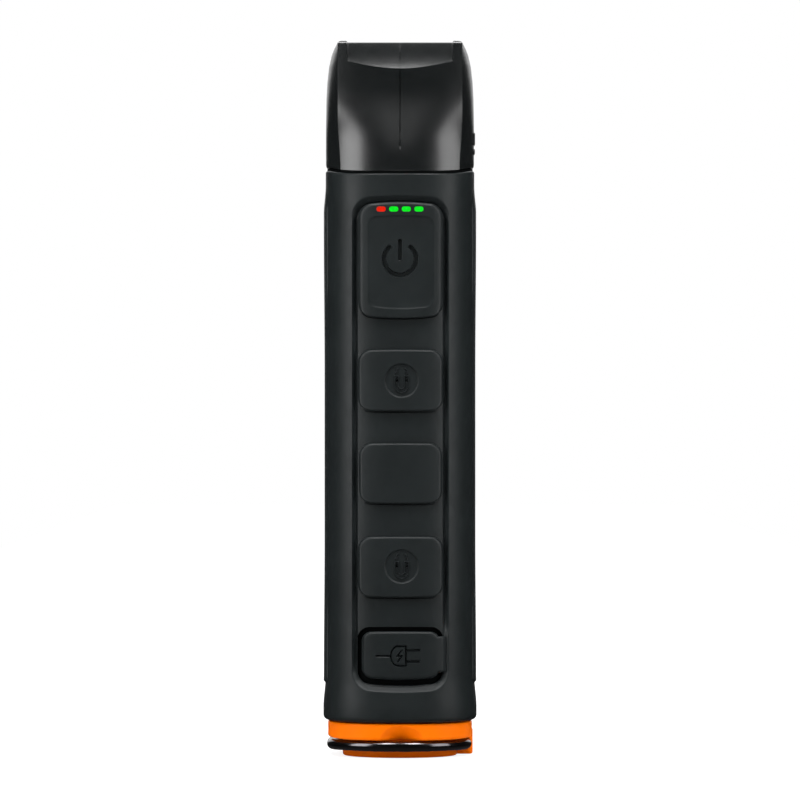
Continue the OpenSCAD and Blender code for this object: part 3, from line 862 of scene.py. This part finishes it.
def build_flap():
    s = settings()
    left, right, low, top = FLAP
    outline = Outline(left, right, low, top, 2.9, 0.2, 0.8)
    wide = Outline(left, right + 4.0, low, top, 2.9, 0.2, 0.8)

    def reach(x, z):
        """Distance inside the flap, whose hinge side isn't rounded where the web joins it."""
        web = ease(27.2, 28.2, z) * (1.0 - ease(37.0, 38.0, z))
        return outline.inside(x, z) * (1.0 - web) + wide.inside(x, z) * web

    def height(x, z):
        """The charging sign, and a lowered strip down the flap's left side."""
        return charging_mark(x, z, -0.2, 32.2, s.mark_depth) - 0.35 * ramp((-11.0 - x) / 0.3)

    shape = relief(outline, PAD_FACE, -16.3, 0.9, 0.85, height, ((-7.9, 6.6), (28.0, 36.4)), 0.12,
                   extra=(np.arange(-11.5, -10.8, 0.1), ()), reach=reach)
    flap = to_object("flap_cap", shape, finish("pad_rubber"))
    plug = rounded_rectangle(-4.3, 6.7, 28.8, 35.4, 1.2)
    carve(flap, upright(plug, -16.6, -14.5), "UNION")
    finish_piece(flap, "flap", "pad_rubber", "port_flap")
    web = to_object("flap_web", web_shape(), finish("pad_rubber"), 50.0)
    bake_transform(web)


# ---- the head ----

SIDE_HEIGHTS = (182.5, 196.0, 206.0, 211.0, 216.0, 219.5, 221.3, 222.1, 222.6, 222.9, 223.05, 223.1)
SIDE_WIDTHS = (23.3, 23.3, 23.12, 22.85, 22.3, 21.5, 20.8, 20.3, 19.85, 19.4, 18.95, 18.5)


def head_front(z):
    """How far the head's front stands out at its middle."""
    step_in = 0.4
    return HALF_DEPTH - step_in + (settings().head_lean + step_in) * ease(186.0, 209.0, z)


def head_face(x, z):
    """The head's front, an arc across that flattens towards the top."""
    s = settings()
    radius = s.head_bend_low + (s.head_bend_high - s.head_bend_low) * ease(191.0, 213.0, z)
    return -head_front(z) + radius - np.sqrt(radius ** 2 - x ** 2)


def scoop_face(z):
    """The scooped edge between the cheeks, which rolls back as it rises."""
    s = settings()
    up, rise, depth_at_top = z - s.scoop_low, HEAD_TOP - s.scoop_low, 8.9
    curve = (depth_at_top - s.scoop_slope * rise) / rise ** 2
    return s.scoop_slope * up + curve * np.maximum(up, 0.0) ** 2 - HALF_DEPTH - s.head_lean


def scoop_edge(x):
    """Height at which the scooped edge starts at x."""
    x = min(x, SCOOP_HALF)
    low, high = 205.0, HEAD_TOP
    for _ in range(40):
        middle = (low + high) / 2.0
        if scoop_face(middle) < head_face(x, middle):
            low = middle
        else:
            high = middle
    return (low + high) / 2.0


def head_rows():
    """Shares of the head's height: up to the scoop's edge, and from there to the top."""
    lower = np.concatenate([[0.0, 0.002, 0.007, 0.015, 0.024, 0.034], np.linspace(0.045, 0.93, 30),
                            [0.955, 0.975, 0.987, 0.995, 1.0]])
    upper = np.concatenate([[0.012, 0.03, 0.06], np.linspace(0.1, 0.92, 14),
                            [0.955, 0.975, 0.988, 0.996, 1.0]])
    return lower, upper


def head_front_line():
    """Places across one half of the head's front, close together where its surface bends."""
    return np.concatenate([
        [PARTING_HALF, 0.10, 0.14, 0.18, 0.23, 0.4, 0.8], np.arange(1.4, 15.6, 0.6),
        [15.9, 16.1, 16.22, 16.3, 16.36, 16.42, 16.48, 16.56, 16.7, 17.1, 17.6, 18.1, 18.5, 18.8, 19.05,
         19.22, CREASE]])


def head_front_y(x, z):
    """The head's front: its arc, the cheek's rounded top, and the scooped edge between the cheeks."""
    face = head_face(x, z)
    cheek = face + rounding(HEAD_TOP - z, 1.2, 1.1)
    scoop = np.maximum(scoop_face(z), face)
    foot = rounding(SCOOP_HALF - 0.05 - x, 0.5)
    scoop = np.maximum(scoop - foot * (scoop > face), face)
    wall = ease(SCOOP_HALF - 0.25, SCOOP_HALF + 0.15, x)
    return scoop * (1.0 - wall) + cheek * wall


def head_ring(side, front_x, z_front):
    """One closed ring of half the head, from the parting line round to the back. The front's points
    have heights of their own, and the rest lie at the height of the last of them."""
    z_round = z_front[-1]
    half = float(np.interp(z_round, SIDE_HEIGHTS, SIDE_WIDTHS)) - rounding(z_round - HEAD_LOW, 1.8, 0.95)
    # The strip between the cheek's bend and the crease narrows towards the head's foot and its top
    bend, foot_crease = 16.7, 18.6
    crease = foot_crease + (CREASE - foot_crease) * float(ease(183.0, 198.0, z_round))
    crease = min(crease, half - 0.5)
    x = np.where(front_x > bend, bend + (front_x - bend) * (crease - bend) / (CREASE - bend), front_x)
    # The parting line is a notch that fades out towards the head's foot
    notch = np.interp(front_x, [0.10, 0.14, 0.18, 0.23], [0.6, 0.3, 0.05, 0.0])
    y = head_front_y(x, z_front) + notch * ease(188.0, 197.0, z_front)
    side_share = np.array([0.02, 0.06, 0.12, 0.2, 0.3, 0.4, 0.5, 0.6, 0.7, 0.8, 0.9, 1.0])
    widest_y = -1.0
    side_x = x[-1] + (half - x[-1]) * (1.0 - (1.0 - side_share) ** 2)
    side_y = y[-1] + (widest_y - y[-1]) * side_share
    depth = HALF_DEPTH - rounding(HEAD_TOP - z_round, 8.6, 4.4)
    angle = np.linspace(0.0, math.pi / 2.0, 26)[1:]
    back_x = PARTING_HALF + (half - PARTING_HALF) * np.cos(angle) ** (2.0 / SQUARENESS)
    back_y = widest_y + (depth - widest_y) * np.sin(angle) ** (2.0 / SQUARENESS)
    back_x[-1] = PARTING_HALF
    ring = np.column_stack([np.concatenate([x, side_x, back_x]), np.concatenate([y, side_y, back_y])])
    z = np.concatenate([z_front, np.full(len(side_x) + len(back_x), z_round)])
    inset = rounding(z - HEAD_LOW, 0.35) + rounding(HEAD_TOP - z, 0.35)
    moved = ring - outline_normals(ring) * inset[:, None]
    at_parting = ring[:, 0] < 0.3
    across = np.where(at_parting, ring[:, 0], np.maximum(moved[:, 0], PARTING_HALF)) * side
    if side > 0:
        # The right half's inner side lies on the left half's, so that no gap is left
        across = np.where(across <= PARTING_HALF + 0.0001, -PARTING_HALF, across)
    lift = seam_shift(moved[:, 1], z, HEAD_LOW, SEAM_FADE_HIGH)
    return np.column_stack([across, moved[:, 1], z + lift])


def head_half(side):
    """One half of the head, on the left for -1 and on the right for 1."""
    front_x = head_front_line()
    edges = np.array([scoop_edge(x) for x in front_x])
    lower, upper = head_rows()
    rings = [head_ring(side, front_x, low + (high - low) * share)
             for low, high, shares in ((HEAD_LOW, edges, lower), (edges, HEAD_TOP, upper))
             for share in shares]
    return Shape().loft(rings)


def build_head():
    torch_bore = rod("z", (0.0, 1.5), 10.6, 199.8, 240.0, 96)
    for side, node in ((-1, "head_shell_left"), (1, "head_shell_right")):
        made = to_object(node + "_moulding", head_half(side), finish("head_plastic"))
        carve(made, torch_bore)
        if side < 0:
            for screw_z in (202.5, 216.0):
                carve(made, rod("x", (14.6, screw_z), 2.3, -40.0, -12.0))
        finish_piece(made, "lamp", "head_plastic", node)
    for place, (low, high, out) in enumerate(((191.5, 195.5, 23.55), (188.6, 190.4, 23.5))):
        stages = ((22.2, 0.0), (out - 0.35, 0.0), (out - 0.12, 0.08), (out - 0.02, 0.28), (out, 0.5))
        shape = stacked(rounded_rectangle(-4.0, 4.0, low, high, 0.7), stages, 0)
        made = to_object("head_rib_%d" % (place + 1), shape, finish("housing_plastic"), 40.0)
        finish_piece(made, "lamp", "head_plastic")
    # The seal ring in the seam under the head: its near-black seal rubber is partly the seal's own black
    # and partly painted shade for the gap between head and sleeve.
    loop = section_loop(22.85, 18.5)
    shape = Shape().loft([
        np.column_stack([loop, level + seam_shift(loop[:, 1], level, level, SEAM_FADE_HIGH)])
        for level in (SLEEVE_TOP + 0.03, HEAD_LOW - 0.03)])
    made = to_object("head_seal_ring", shape, finish("seal_rubber"))
    finish_piece(made, "lamp", "seal_rubber", "head_seal")


# ---- the light face ----

def light_face_shape():
    """The hard shell that closes the body behind the sleeve's rear edges."""
    start = math.asin((SHELL_FRONT / HALF_DEPTH) ** (SQUARENESS / 2.0))
    angle = np.linspace(start, math.pi - start, 110)
    c, s = np.cos(angle), np.sin(angle)
    x = HALF_WIDTH * np.sign(c) * np.abs(c) ** (2.0 / SQUARENESS)
    y = HALF_DEPTH * s ** (2.0 / SQUARENESS)
    nx, ny = section_normals(x, y)
    levels = np.unique(np.round(np.concatenate([
        [SLEEVE_LOW, 11.48, 11.56, 11.7, 11.9, 12.2, 12.45], np.arange(13.0, 181.0, 4.0),
        [181.5, 181.66, 181.78, 181.87, SLEEVE_TOP]]), 3))
    grid = []
    for level in levels:
        inset = rounding(level - SLEEVE_LOW, 1.0) + rounding(SLEEVE_TOP - level, 0.4)
        inset = inset + 0.25 * np.clip(1.0 - (y - SHELL_FRONT) / 0.5, 0.0, 1.0) ** 2
        lift = seam_shift(y, level, SLEEVE_TOP, SEAM_FADE_LOW)
        grid.append(np.column_stack([x - nx * inset, np.where(y < 8.3, y, y - ny * inset), level + lift]))
    shape = Shape()
    outer = shape.sheet(np.array(grid))
    inner = np.column_stack([x * 19.3 / HALF_WIDTH, np.maximum(SHELL_FRONT, y * 16.8 / HALF_DEPTH)])
    close_wall(shape, outer, y, inner, (levels[0], levels[-1]))
    return shape


def build_light_face():
    made = to_object("light_face_moulding", light_face_shape(), finish("housing_plastic"))
    # A shallow frame, the window's seat in it and the opening for the light
    cuts = ((16.0, 38.1, 171.9, 4.6, 16.9), (14.1, 40.0, 170.0, 3.0, 14.45),
            (12.7, 42.2, 167.8, 2.0, 5.0))
    for half, low, high, corner, depth in cuts:
        carve(made, upright(rounded_rectangle(-half, half, low, high, corner), depth, 40.0))
    finish_piece(made, "lamp", "housing_plastic", "front_shell")
    stages = ((14.9, 0.0), (16.0, 0.0), (16.25, 0.07), (16.37, 0.2), (16.4, 0.4))
    shape = stacked(rounded_rectangle(-14.0, 14.0, 40.1, 169.9, 2.9), stages, 1)
    lens = to_object("light_window", shape, finish("clear_lens"))
    finish_piece(lens, "lamp", "clear_lens", "main_lens")


# ---- the swivel base and the hook ----

def collar_shape():
    """The collar, with a soft finger notch in the lower edge of its front."""
    a, b, low, high = 22.6, 18.85, 6.0, 11.1
    edge_low, edge_high, notch_x = 0.8, 0.6, 0.4
    loop = section_loop(a, b, count=240)
    # Closer points across the notch take the place of the loop's own
    near = (loop[:, 1] < 0) & (np.abs(loop[:, 0] - notch_x) < 8.6)
    first = int(np.argmax(near))
    xs = np.arange(-8.1, 9.0, 0.3)
    front = np.column_stack([xs, -face_depth(xs, a, b)])
    loop = np.vstack([loop[:first], front, loop[first:][~near[first:]]])
    normal = outline_normals(loop)
    between = np.linspace(low + edge_low, high - edge_high, 13)[1:-1]
    rings = []
    for z, inset in edge_stages(low, high, edge_low, edge_high, 6, between):
        ring = np.insert(loop - normal * inset, 2, z, axis=1)
        share = 1.0 - np.hypot((loop[:, 0] - notch_x) / 6.8, (z - 5.9) / 4.8)
        ring[:, 1] += 4.6 * np.maximum(share, 0.0) ** 1.15 * (loop[:, 1] < 0)
        rings.append(ring)
    return Shape().loft(rings)


def build_base():
    base = to_object("base_moulding", collar_shape(), finish("orange_plastic"))
    boss = rounded_prism(section_loop(18.0, 12.35, 2.0, 120), 0.0, 8.0, 0.7, 0.3)
    lug = rounded_prism(rounded_rectangle(11.0, 22.9, 1.4, 9.0, 1.3), 0.15, 8.0, 0.6, 0.3)
    pin_hole = rod("y", (PIN_X, PIN_Z), WIRE_RADIUS + 0.07, -6.0, 20.0)
    pad_seat = rounded_prism(section_loop(16.05, 10.65, 2.0, 120), -1.0, 1.15, 0.01, 0.01)
    magnet_seat = rod("z", (0.0, 0.0), 9.1, -1.0, 4.25, 96)
    for tool, operation in ((boss, "UNION"), (lug, "UNION"), (pin_hole, "DIFFERENCE"),
                            (pad_seat, "DIFFERENCE"), (magnet_seat, "DIFFERENCE")):
        carve(base, tool, operation)
    finish_piece(base, "base", "orange_plastic", "swivel_base")


def hook_path():
    """The hook's centre line in its own plane, from the pin to the tip."""
    turn, front_radius, front_y, left_x, tip_y = 32.0, 26.0, -17.2, 21.3, 6.0
    c, s = math.cos(math.radians(turn)), math.sin(math.radians(turn))
    bend_x, bend_y = front_radius * s, front_y + front_radius * (1.0 - c)
    # Radii of the bends at the right and the left, which meet the straight sides
    right, left = (PIN_X - bend_x) / (1.0 - s), (left_x - bend_x) / (1.0 - s)
    pin_y, side_y = bend_y + right * c, bend_y + left * c

    def arc(cx, cy, radius, start, end, count):
        angle = np.radians(np.linspace(start, end, count))
        return np.column_stack([cx + radius * np.cos(angle), cy + radius * np.sin(angle)])

    pin = np.column_stack([np.full(12, PIN_X), np.linspace(11.0, pin_y, 12)])
    bend_right = arc(PIN_X - right, pin_y, right, 0.0, -90.0 + turn, 24)[1:]
    front = arc(0.0, front_y + front_radius, front_radius, -90.0 + turn, -90.0 - turn, 36)[1:]
    bend_left = arc(left - left_x, side_y, left, -90.0 - turn, -180.0, 24)[1:]
    side = np.column_stack([np.full(8, -left_x), np.linspace(side_y, tip_y, 8)])[1:]
    tip = arc(9.0 - left_x, tip_y, 9.0, 180.0, 130.0, 16)[1:]
    return np.vstack([pin, bend_right, front, bend_left, side, tip])


def build_hook():
    path = hook_path()
    run = np.gradient(path, axis=0)
    run /= np.linalg.norm(run, axis=1)[:, None]
    angle = np.linspace(0.0, 2.0 * math.pi, 32, endpoint=False)

    def ring(centre, along, size):
        """A ring of the wire, which lies a little higher across the front than at the pin."""
        across = np.array([along[1], -along[0]])
        flat = centre + np.outer(np.cos(angle) * size, across)
        lift = 0.42 * float(ease(0.0, 14.0, -centre[1]))
        return np.column_stack([flat, PIN_Z + lift + np.sin(angle) * size])

    # The pin ends in a shallow dimple, and the tip is round
    rings = []
    for turn in np.radians(np.linspace(8.0, 80.0, 7)):
        draw = 0.5 * (1.0 - math.sin(turn))
        rings.append(ring(path[0] + run[0] * draw, run[0], WIRE_RADIUS - draw - 0.02 * math.cos(turn)))
    rings += [ring(place, along, WIRE_RADIUS) for place, along in zip(path[1:-1], run[1:-1])]
    for turn in np.radians(np.linspace(0.0, 84.0, 10)):
        forward = WIRE_RADIUS * 0.98 * math.sin(turn)
        rings.append(ring(path[-1] + run[-1] * forward, run[-1], WIRE_RADIUS * math.cos(turn)))
    made = to_object("hook_wire", Shape().loft(rings), finish("dark_chrome"), 50.0)
    finish_piece(made, "hook", "dark_chrome", "hook")


# ---- parts that keep their own shape ----

OWN_SHAPE = {
    "housing_plastic": ("back_shell", "end_plate", "battery_cradle"),
    "head_plastic": ("torch_lens_ring",),
    "seal_rubber": ("lens_gasket", "foot_pad"),
    "clear_lens": ("torch_lens",),
    "reflector_plastic": ("light_reflector",),
    "bright_reflector": ("torch_reflector",),
    "led_phosphor": ("cob_strip", "torch_led"),
    "led_chip": ("indicator_leds",),
    "green_board": ("control_board", "charge_board"),
    "white_board": ("light_board", "torch_led_board"),
    "aluminium": ("heat_sink", "torch_heat_sink"),
    "cell_wrap": ("battery_cell",),
    "terminal_metal": ("battery_terminals",),
    "lead_sleeving": ("battery_leads",),
    "magnet_metal": ("upper_magnet", "lower_magnet", "base_magnet"),
    "plain_steel": ("end_plate_screws", "head_screws", "tactile_switch", "usb_socket",
                    "swivel_spindle", "spindle_washer", "spindle_clip", "hook_clip"),
}


def dress_inner_parts():
    for slot, names in OWN_SHAPE.items():
        for name in names:
            node = NODES[name]
            node.data.materials.clear()
            node.data.materials.append(finish(slot))


# ---- the stage ----

WHITE = (1.0, 1.0, 1.0)


def maths(tree, operation, first, second):
    """The sum or product of two values, held between 0 and 1."""
    node = add_node(tree, "ShaderNodeMath", links={0: first, 1: second})
    node.operation, node.use_clamp = operation, True
    return node.outputs[0]


def smooth_range(tree, value, start, end, low=0.0, high=1.0):
    """A value that eases from low to high while another goes from start to end."""
    values = {"From Min": start, "From Max": end, "To Min": low, "To Max": high}
    node = add_node(tree, "ShaderNodeMapRange", values, {"Value": value})
    node.interpolation_type = "SMOOTHSTEP"
    return node.outputs["Result"]


def mixed(tree, share, first, second):
    """Two shaders mixed by the share of the second."""
    links = {"Fac": share, 1: first.outputs[0], 2: second.outputs[0]}
    return add_node(tree, "ShaderNodeMixShader", links=links)


def light_paths(tree):
    """Two shares: whether a ray is seen by the camera, straight or through the window, and whether
    it is a gloss ray."""
    path = tree.nodes.new("ShaderNodeLightPath").outputs
    return maths(tree, "ADD", path["Is Camera Ray"], path["Is Transmission Ray"]), path["Is Glossy Ray"]


def build_world(c):
    world = bpy.data.worlds.new("studio")
    bpy.context.scene.world = world
    world.use_nodes = True
    tree = world.node_tree
    tree.nodes.clear()
    room, dark, backdrop = (
        add_node(tree, "ShaderNodeBackground", {"Color": (*colour, 1), "Strength": level})
        for colour, level in ((c.room, c.room_level), (c.room, c.gloss_level), (WHITE, 1.0)))
    straight, glossy = light_paths(tree)
    # Gloss shows the white backdrop behind the lamp and the dim studio in front of it
    toward = tree.nodes.new("ShaderNodeTexCoord").outputs["Generated"]
    along = add_node(tree, "ShaderNodeVectorMath", {1: (0.0, 1.0, 0.55)}, {0: toward})
    along.operation = "DOT_PRODUCT"
    behind = smooth_range(tree, along.outputs["Value"], 0.94, 0.995)
    seen = maths(tree, "ADD", straight, maths(tree, "MULTIPLY", glossy, behind))
    shown = mixed(tree, seen, mixed(tree, glossy, room, dark), backdrop)
    add_node(tree, "ShaderNodeOutputWorld", links={"Surface": shown.outputs[0]})


def build_floor(c):
    shape = Shape()
    xs = np.array([-300.0, -150.0, -60.0, 0.0, 60.0, 150.0, 300.0])
    ys = np.array([-1500.0, -700.0, -200.0, 0.0, 200.0, 700.0, 1500.0, 3000.0])
    shape.sheet(np.stack([*np.meshgrid(xs, ys), np.zeros((len(ys), len(xs)))], axis=-1))
    material = bpy.data.materials.new("studio_floor")
    material.use_nodes = True
    tree = material.node_tree
    tree.nodes.clear()
    plain = add_node(tree, "ShaderNodeBsdfDiffuse", {"Color": (*[c.floor_bounce] * 3, 1)})
    # The floor's own white grows to full away from the lamp, so that only its shadow is kept.
    # In gloss the floor is dim round the lamp and bright further out.
    place = tree.nodes.new("ShaderNodeTexCoord").outputs["Object"]
    length = add_node(tree, "ShaderNodeVectorMath", links={0: place})
    length.operation = "LENGTH"
    away = length.outputs["Value"]
    shaded = add_node(tree, "ShaderNodeBsdfDiffuse", {"Color": (0.30, 0.30, 0.30, 1)})
    white = add_node(tree, "ShaderNodeEmission", {"Color": (*WHITE, 1)},
                     {"Strength": smooth_range(tree, away, 0.05, 0.8, 0.88, 1.0)})
    fade = add_node(tree, "ShaderNodeValToRGB", links={"Fac": away})
    fade.color_ramp.interpolation = "EASE"
    stops = ((0.0, 0.08), (0.022, 0.08), (0.032, 0.02), (0.28, 0.02), (1.0, 1.0))
    while len(fade.color_ramp.elements) < len(stops):
        fade.color_ramp.elements.new(0.5)
    for element, (position, grey) in zip(fade.color_ramp.elements, stops):
        element.position, element.color = position, (grey, grey, grey, 1)
    dim = add_node(tree, "ShaderNodeEmission", {"Strength": 1.0}, {"Color": fade.outputs["Color"]})
    both = add_node(tree, "ShaderNodeAddShader", links={0: shaded.outputs[0], 1: white.outputs[0]})
    seen, glossy = light_paths(tree)
    shown = mixed(tree, seen, mixed(tree, glossy, plain, dim), both)
    add_node(tree, "ShaderNodeOutputMaterial", links={"Surface": shown.outputs[0]})
    floor = to_object("studio_floor", shape, material)


def softbox(name, azimuth, level, distance, width, height, brightness, tilt=0.0, roll=0.0):
    """An area light at an angle round the lamp, measured from the control face, which faces the
    lamp's long axis. Places and sizes are in metres, and tilt turns it down."""
    data = bpy.data.lights.new(name, "AREA")
    data.shape, data.size, data.size_y = "RECTANGLE", width, height
    data.energy = brightness * math.pi * width * height
    made = bpy.data.objects.new(name, data)
    bpy.context.scene.collection.objects.link(made)
    a = math.radians(azimuth)
    made.location = (distance * math.sin(a), -distance * math.cos(a), level)
    made.rotation_euler = (math.radians(90.0 - tilt), math.radians(roll), a)
    made.visible_camera = False


def build_stage():
    c = colours()
    scene = bpy.context.scene
    scene.view_settings.view_transform = "Standard"
    build_world(c)
    build_floor(c)
    softbox("left_softbox", -56.5, 0.32, 0.85, 0.40, 1.14, c.left_level)
    softbox("right_softbox", 58.0, 0.32, 0.85, 0.40, 1.14, c.right_level, roll=5.0)
    for name, side in (("rear_left", -1.0), ("rear_right", 1.0)):
        softbox(name + "_softbox", side * 150.0, 1.2, 1.0, 0.7, 0.7, c.rear_level, 40.0)
    for name, side in (("top_left", -1.0), ("top_right", 1.0)):
        softbox(name + "_softbox", side * 38.0, 1.2, 0.55, 0.45, 0.45, c.top_level, 64.0)
    data = bpy.data.cameras.new("camera")
    data.sensor_width, data.lens = 36.0, 181.5
    data.clip_start, data.clip_end = 0.01, 60.0
    camera = bpy.data.objects.new("camera", data)
    scene.collection.objects.link(camera)
    camera.location = (0.0, -1.269, 0.1116)
    camera.rotation_euler = (math.radians(90.0), 0.0, 0.0)
    scene.camera = camera


# ---- settings, operators and panel ----

def number_property(name, description, value, low, high):
    return bpy.props.FloatProperty(name=name, description=description, default=value, min=low,
                                   max=high, unit="NONE", precision=2)


def colour_property(name, description, value):
    return bpy.props.FloatVectorProperty(name=name, description=description, default=value, size=3,
                                         subtype="COLOR", min=0.0, max=1.0)


class LampSizes(bpy.types.PropertyGroup):
    """Sizes in millimetres that a user may change."""

    channel_half: number_property("Channel half width", "Half width of the channel at the face, mm",
                                  15.05, 13.5, 16.0)
    channel_wall: number_property("Channel wall", "Width of the channel's sloped wall, mm", 1.9, 0.4, 3.0)
    channel_depth: number_property("Channel depth", "Depth of the channel's floor, mm", 1.6, 0.5, 2.0)
    gutter_share: number_property("Gutter", "Depth of the channel's gutter below its floor, as a "
                                  "share of the channel's depth", 0.12, 0.0, 1.0)
    pad_half: number_property("Pad half width", "Half width of the pads and the button, mm",
                              13.2, 9.0, 13.4)
    pad_edge: number_property("Pad edge", "Radius of the pads' rounded edges, mm", 0.9, 0.2, 1.4)
    button_gap: number_property("Button gap", "Gap round the power button, mm", 0.35, 0.1, 0.6)
    dish_depth: number_property("Dish depth", "Depth of the button's thumb dish, mm", 0.35, 0.0, 1.0)
    dish_step: number_property("Dish step", "Height of the step round the thumb dish, mm", 0.16, 0.0, 0.5)
    mark_depth: number_property("Mark depth", "Depth of the marks pressed into the rubber, mm",
                                0.9, 0.1, 1.2)
    window_pitch: number_property("Window spacing", "Spacing of the charge windows, mm", 3.9, 3.0, 5.0)
    flare_step: number_property("Flare", "Outward step of the sleeve's lower end, mm", 0.72, 0.0, 1.0)
    grip_step: number_property("Grip height", "Height of the side grips, mm", 0.6, 0.0, 1.0)
    head_lean: number_property("Head lean", "How far the head leans out towards its top, mm",
                               1.4, 0.0, 2.0)
    head_bend_low: number_property("Head radius, low", "Radius of the head's front at its foot, mm",
                                   32.7, 25.0, 80.0)
    head_bend_high: number_property("Head radius, high", "Radius of the head's front at its top, mm",
                                    72.0, 25.0, 90.0)
    scoop_low: number_property("Scoop start", "Height where the scooped edge starts, mm",
                               214.3, 210.0, 220.0)
    scoop_slope: number_property("Scoop slope", "Slope of the scooped edge at its foot", 0.66, 0.3, 1.0)


class LampColours(bpy.types.PropertyGroup):
    """Colours and light levels that a user may change."""

    rubber: colour_property("Rubber", "Colour of the sleeve, pads, button and flap",
                            (0.0090, 0.0117, 0.0122))
    plastic: colour_property("Head plastic", "Colour of the head and the housing",
                             (0.0036, 0.0048, 0.0050))
    orange: colour_property("Base plastic", "Colour of the swivel base", (0.86, 0.153, 0.0003))
    wire: colour_property("Wire", "Colour of the hook's dark plating", (0.10, 0.095, 0.10))
    red_light: colour_property("Red light", "Colour of the lit low-charge window", (0.70, 0.013, 0.002))
    green_light: colour_property("Green light", "Colour of the lit charge windows",
                                 (0.0025, 0.75, 0.016))
    room: colour_property("Studio", "Colour of the dim studio round the lamp", (1.0, 1.0, 1.0))
    room_level: number_property("Studio level", "Brightness of the studio round the lamp", 0.10, 0.0, 1.0)
    gloss_level: number_property("Studio in gloss", "Brightness of the studio as gloss shows it",
                                 0.028, 0.0, 1.0)
    floor_bounce: number_property("Floor bounce", "How much light the floor throws back up",
                                  0.75, 0.0, 1.0)
    left_level: number_property("Left softbox", "Brightness of the left softbox", 4.5, 0.0, 20.0)
    right_level: number_property("Right softbox", "Brightness of the right softbox", 3.5, 0.0, 20.0)
    rear_level: number_property("Rear softboxes", "Brightness of the rear softboxes", 1.8, 0.0, 20.0)
    top_level: number_property("Top softboxes", "Brightness of the top softboxes", 15.5, 0.0, 40.0)


class LAMP_OT_sleeve(bpy.types.Operator):
    """Build the rubber sleeve with its channel, grips and recesses"""

    bl_idname = "lamp.sleeve"
    bl_label = "Sleeve"

    def execute(self, context):
        build_sleeve()
        return {"FINISHED"}


class LAMP_OT_pads(bpy.types.Operator):
    """Build the three pads in the channel"""

    bl_idname = "lamp.pads"
    bl_label = "Pads"

    def execute(self, context):
        build_pads()
        return {"FINISHED"}


class LAMP_OT_button(bpy.types.Operator):
    """Build the power button and its four charge windows"""

    bl_idname = "lamp.button"
    bl_label = "Button and Windows"

    def execute(self, context):
        build_button()
        return {"FINISHED"}


class LAMP_OT_flap(bpy.types.Operator):
    """Build the charging flap and the web that it hangs on"""

    bl_idname = "lamp.flap"
    bl_label = "Charging Flap"

    def execute(self, context):
        build_flap()
        return {"FINISHED"}


class LAMP_OT_head(bpy.types.Operator):
    """Build the two halves of the head, its side ribs and its seal"""

    bl_idname = "lamp.head"
    bl_label = "Head"

    def execute(self, context):
        build_head()
        return {"FINISHED"}


class LAMP_OT_light_face(bpy.types.Operator):
    """Build the housing's light face and its window"""

    bl_idname = "lamp.light_face"
    bl_label = "Light Face"

    def execute(self, context):
        build_light_face()
        return {"FINISHED"}


class LAMP_OT_base(bpy.types.Operator):
    """Build the orange swivel base"""

    bl_idname = "lamp.base"
    bl_label = "Swivel Base"

    def execute(self, context):
        build_base()
        return {"FINISHED"}


class LAMP_OT_hook(bpy.types.Operator):
    """Build the wire hook"""

    bl_idname = "lamp.hook"
    bl_label = "Wire Hook"

    def execute(self, context):
        build_hook()
        return {"FINISHED"}


class LAMP_OT_inner_parts(bpy.types.Operator):
    """Give every part that keeps its own shape its finish"""

    bl_idname = "lamp.inner_parts"
    bl_label = "Finishes of Inner Parts"

    def execute(self, context):
        dress_inner_parts()
        return {"FINISHED"}


class LAMP_OT_stage(bpy.types.Operator):
    """Set up the floor, the studio lights and the camera"""

    bl_idname = "lamp.stage"
    bl_label = "Stage"

    def execute(self, context):
        build_stage()
        return {"FINISHED"}


OPERATORS = (LAMP_OT_sleeve, LAMP_OT_pads, LAMP_OT_button, LAMP_OT_flap, LAMP_OT_head,
             LAMP_OT_light_face, LAMP_OT_base, LAMP_OT_hook, LAMP_OT_inner_parts, LAMP_OT_stage)


class LAMP_PT_panel(bpy.types.Panel):
    """Work Lamp"""

    bl_idname = "LAMP_PT_panel"
    bl_label = "Work Lamp"
    bl_space_type = "VIEW_3D"
    bl_region_type = "UI"
    bl_category = "Work Lamp"

    def draw(self, context):
        layout = self.layout
        for group in (context.scene.lamp_sizes, context.scene.lamp_colours):
            box = layout.box()
            for key in group.__annotations__:
                box.prop(group, key)
        for operator in OPERATORS:
            layout.operator(operator.bl_idname)


CLASSES = (LampSizes, LampColours, *OPERATORS, LAMP_PT_panel)


def register():
    for cls in CLASSES:
        bpy.utils.register_class(cls)
    bpy.types.Scene.lamp_sizes = bpy.props.PointerProperty(type=LampSizes)
    bpy.types.Scene.lamp_colours = bpy.props.PointerProperty(type=LampColours)


def unregister():
    del bpy.types.Scene.lamp_colours
    del bpy.types.Scene.lamp_sizes
    for cls in reversed(CLASSES):
        bpy.utils.unregister_class(cls)


def main():
    register()
    bpy.ops.lamp.sleeve()
    bpy.ops.lamp.pads()
    bpy.ops.lamp.button()
    bpy.ops.lamp.flap()
    bpy.ops.lamp.head()
    bpy.ops.lamp.light_face()
    bpy.ops.lamp.base()
    bpy.ops.lamp.hook()
    bpy.ops.lamp.inner_parts()
    bpy.ops.lamp.stage()


if __name__ == "__main__":
    main()
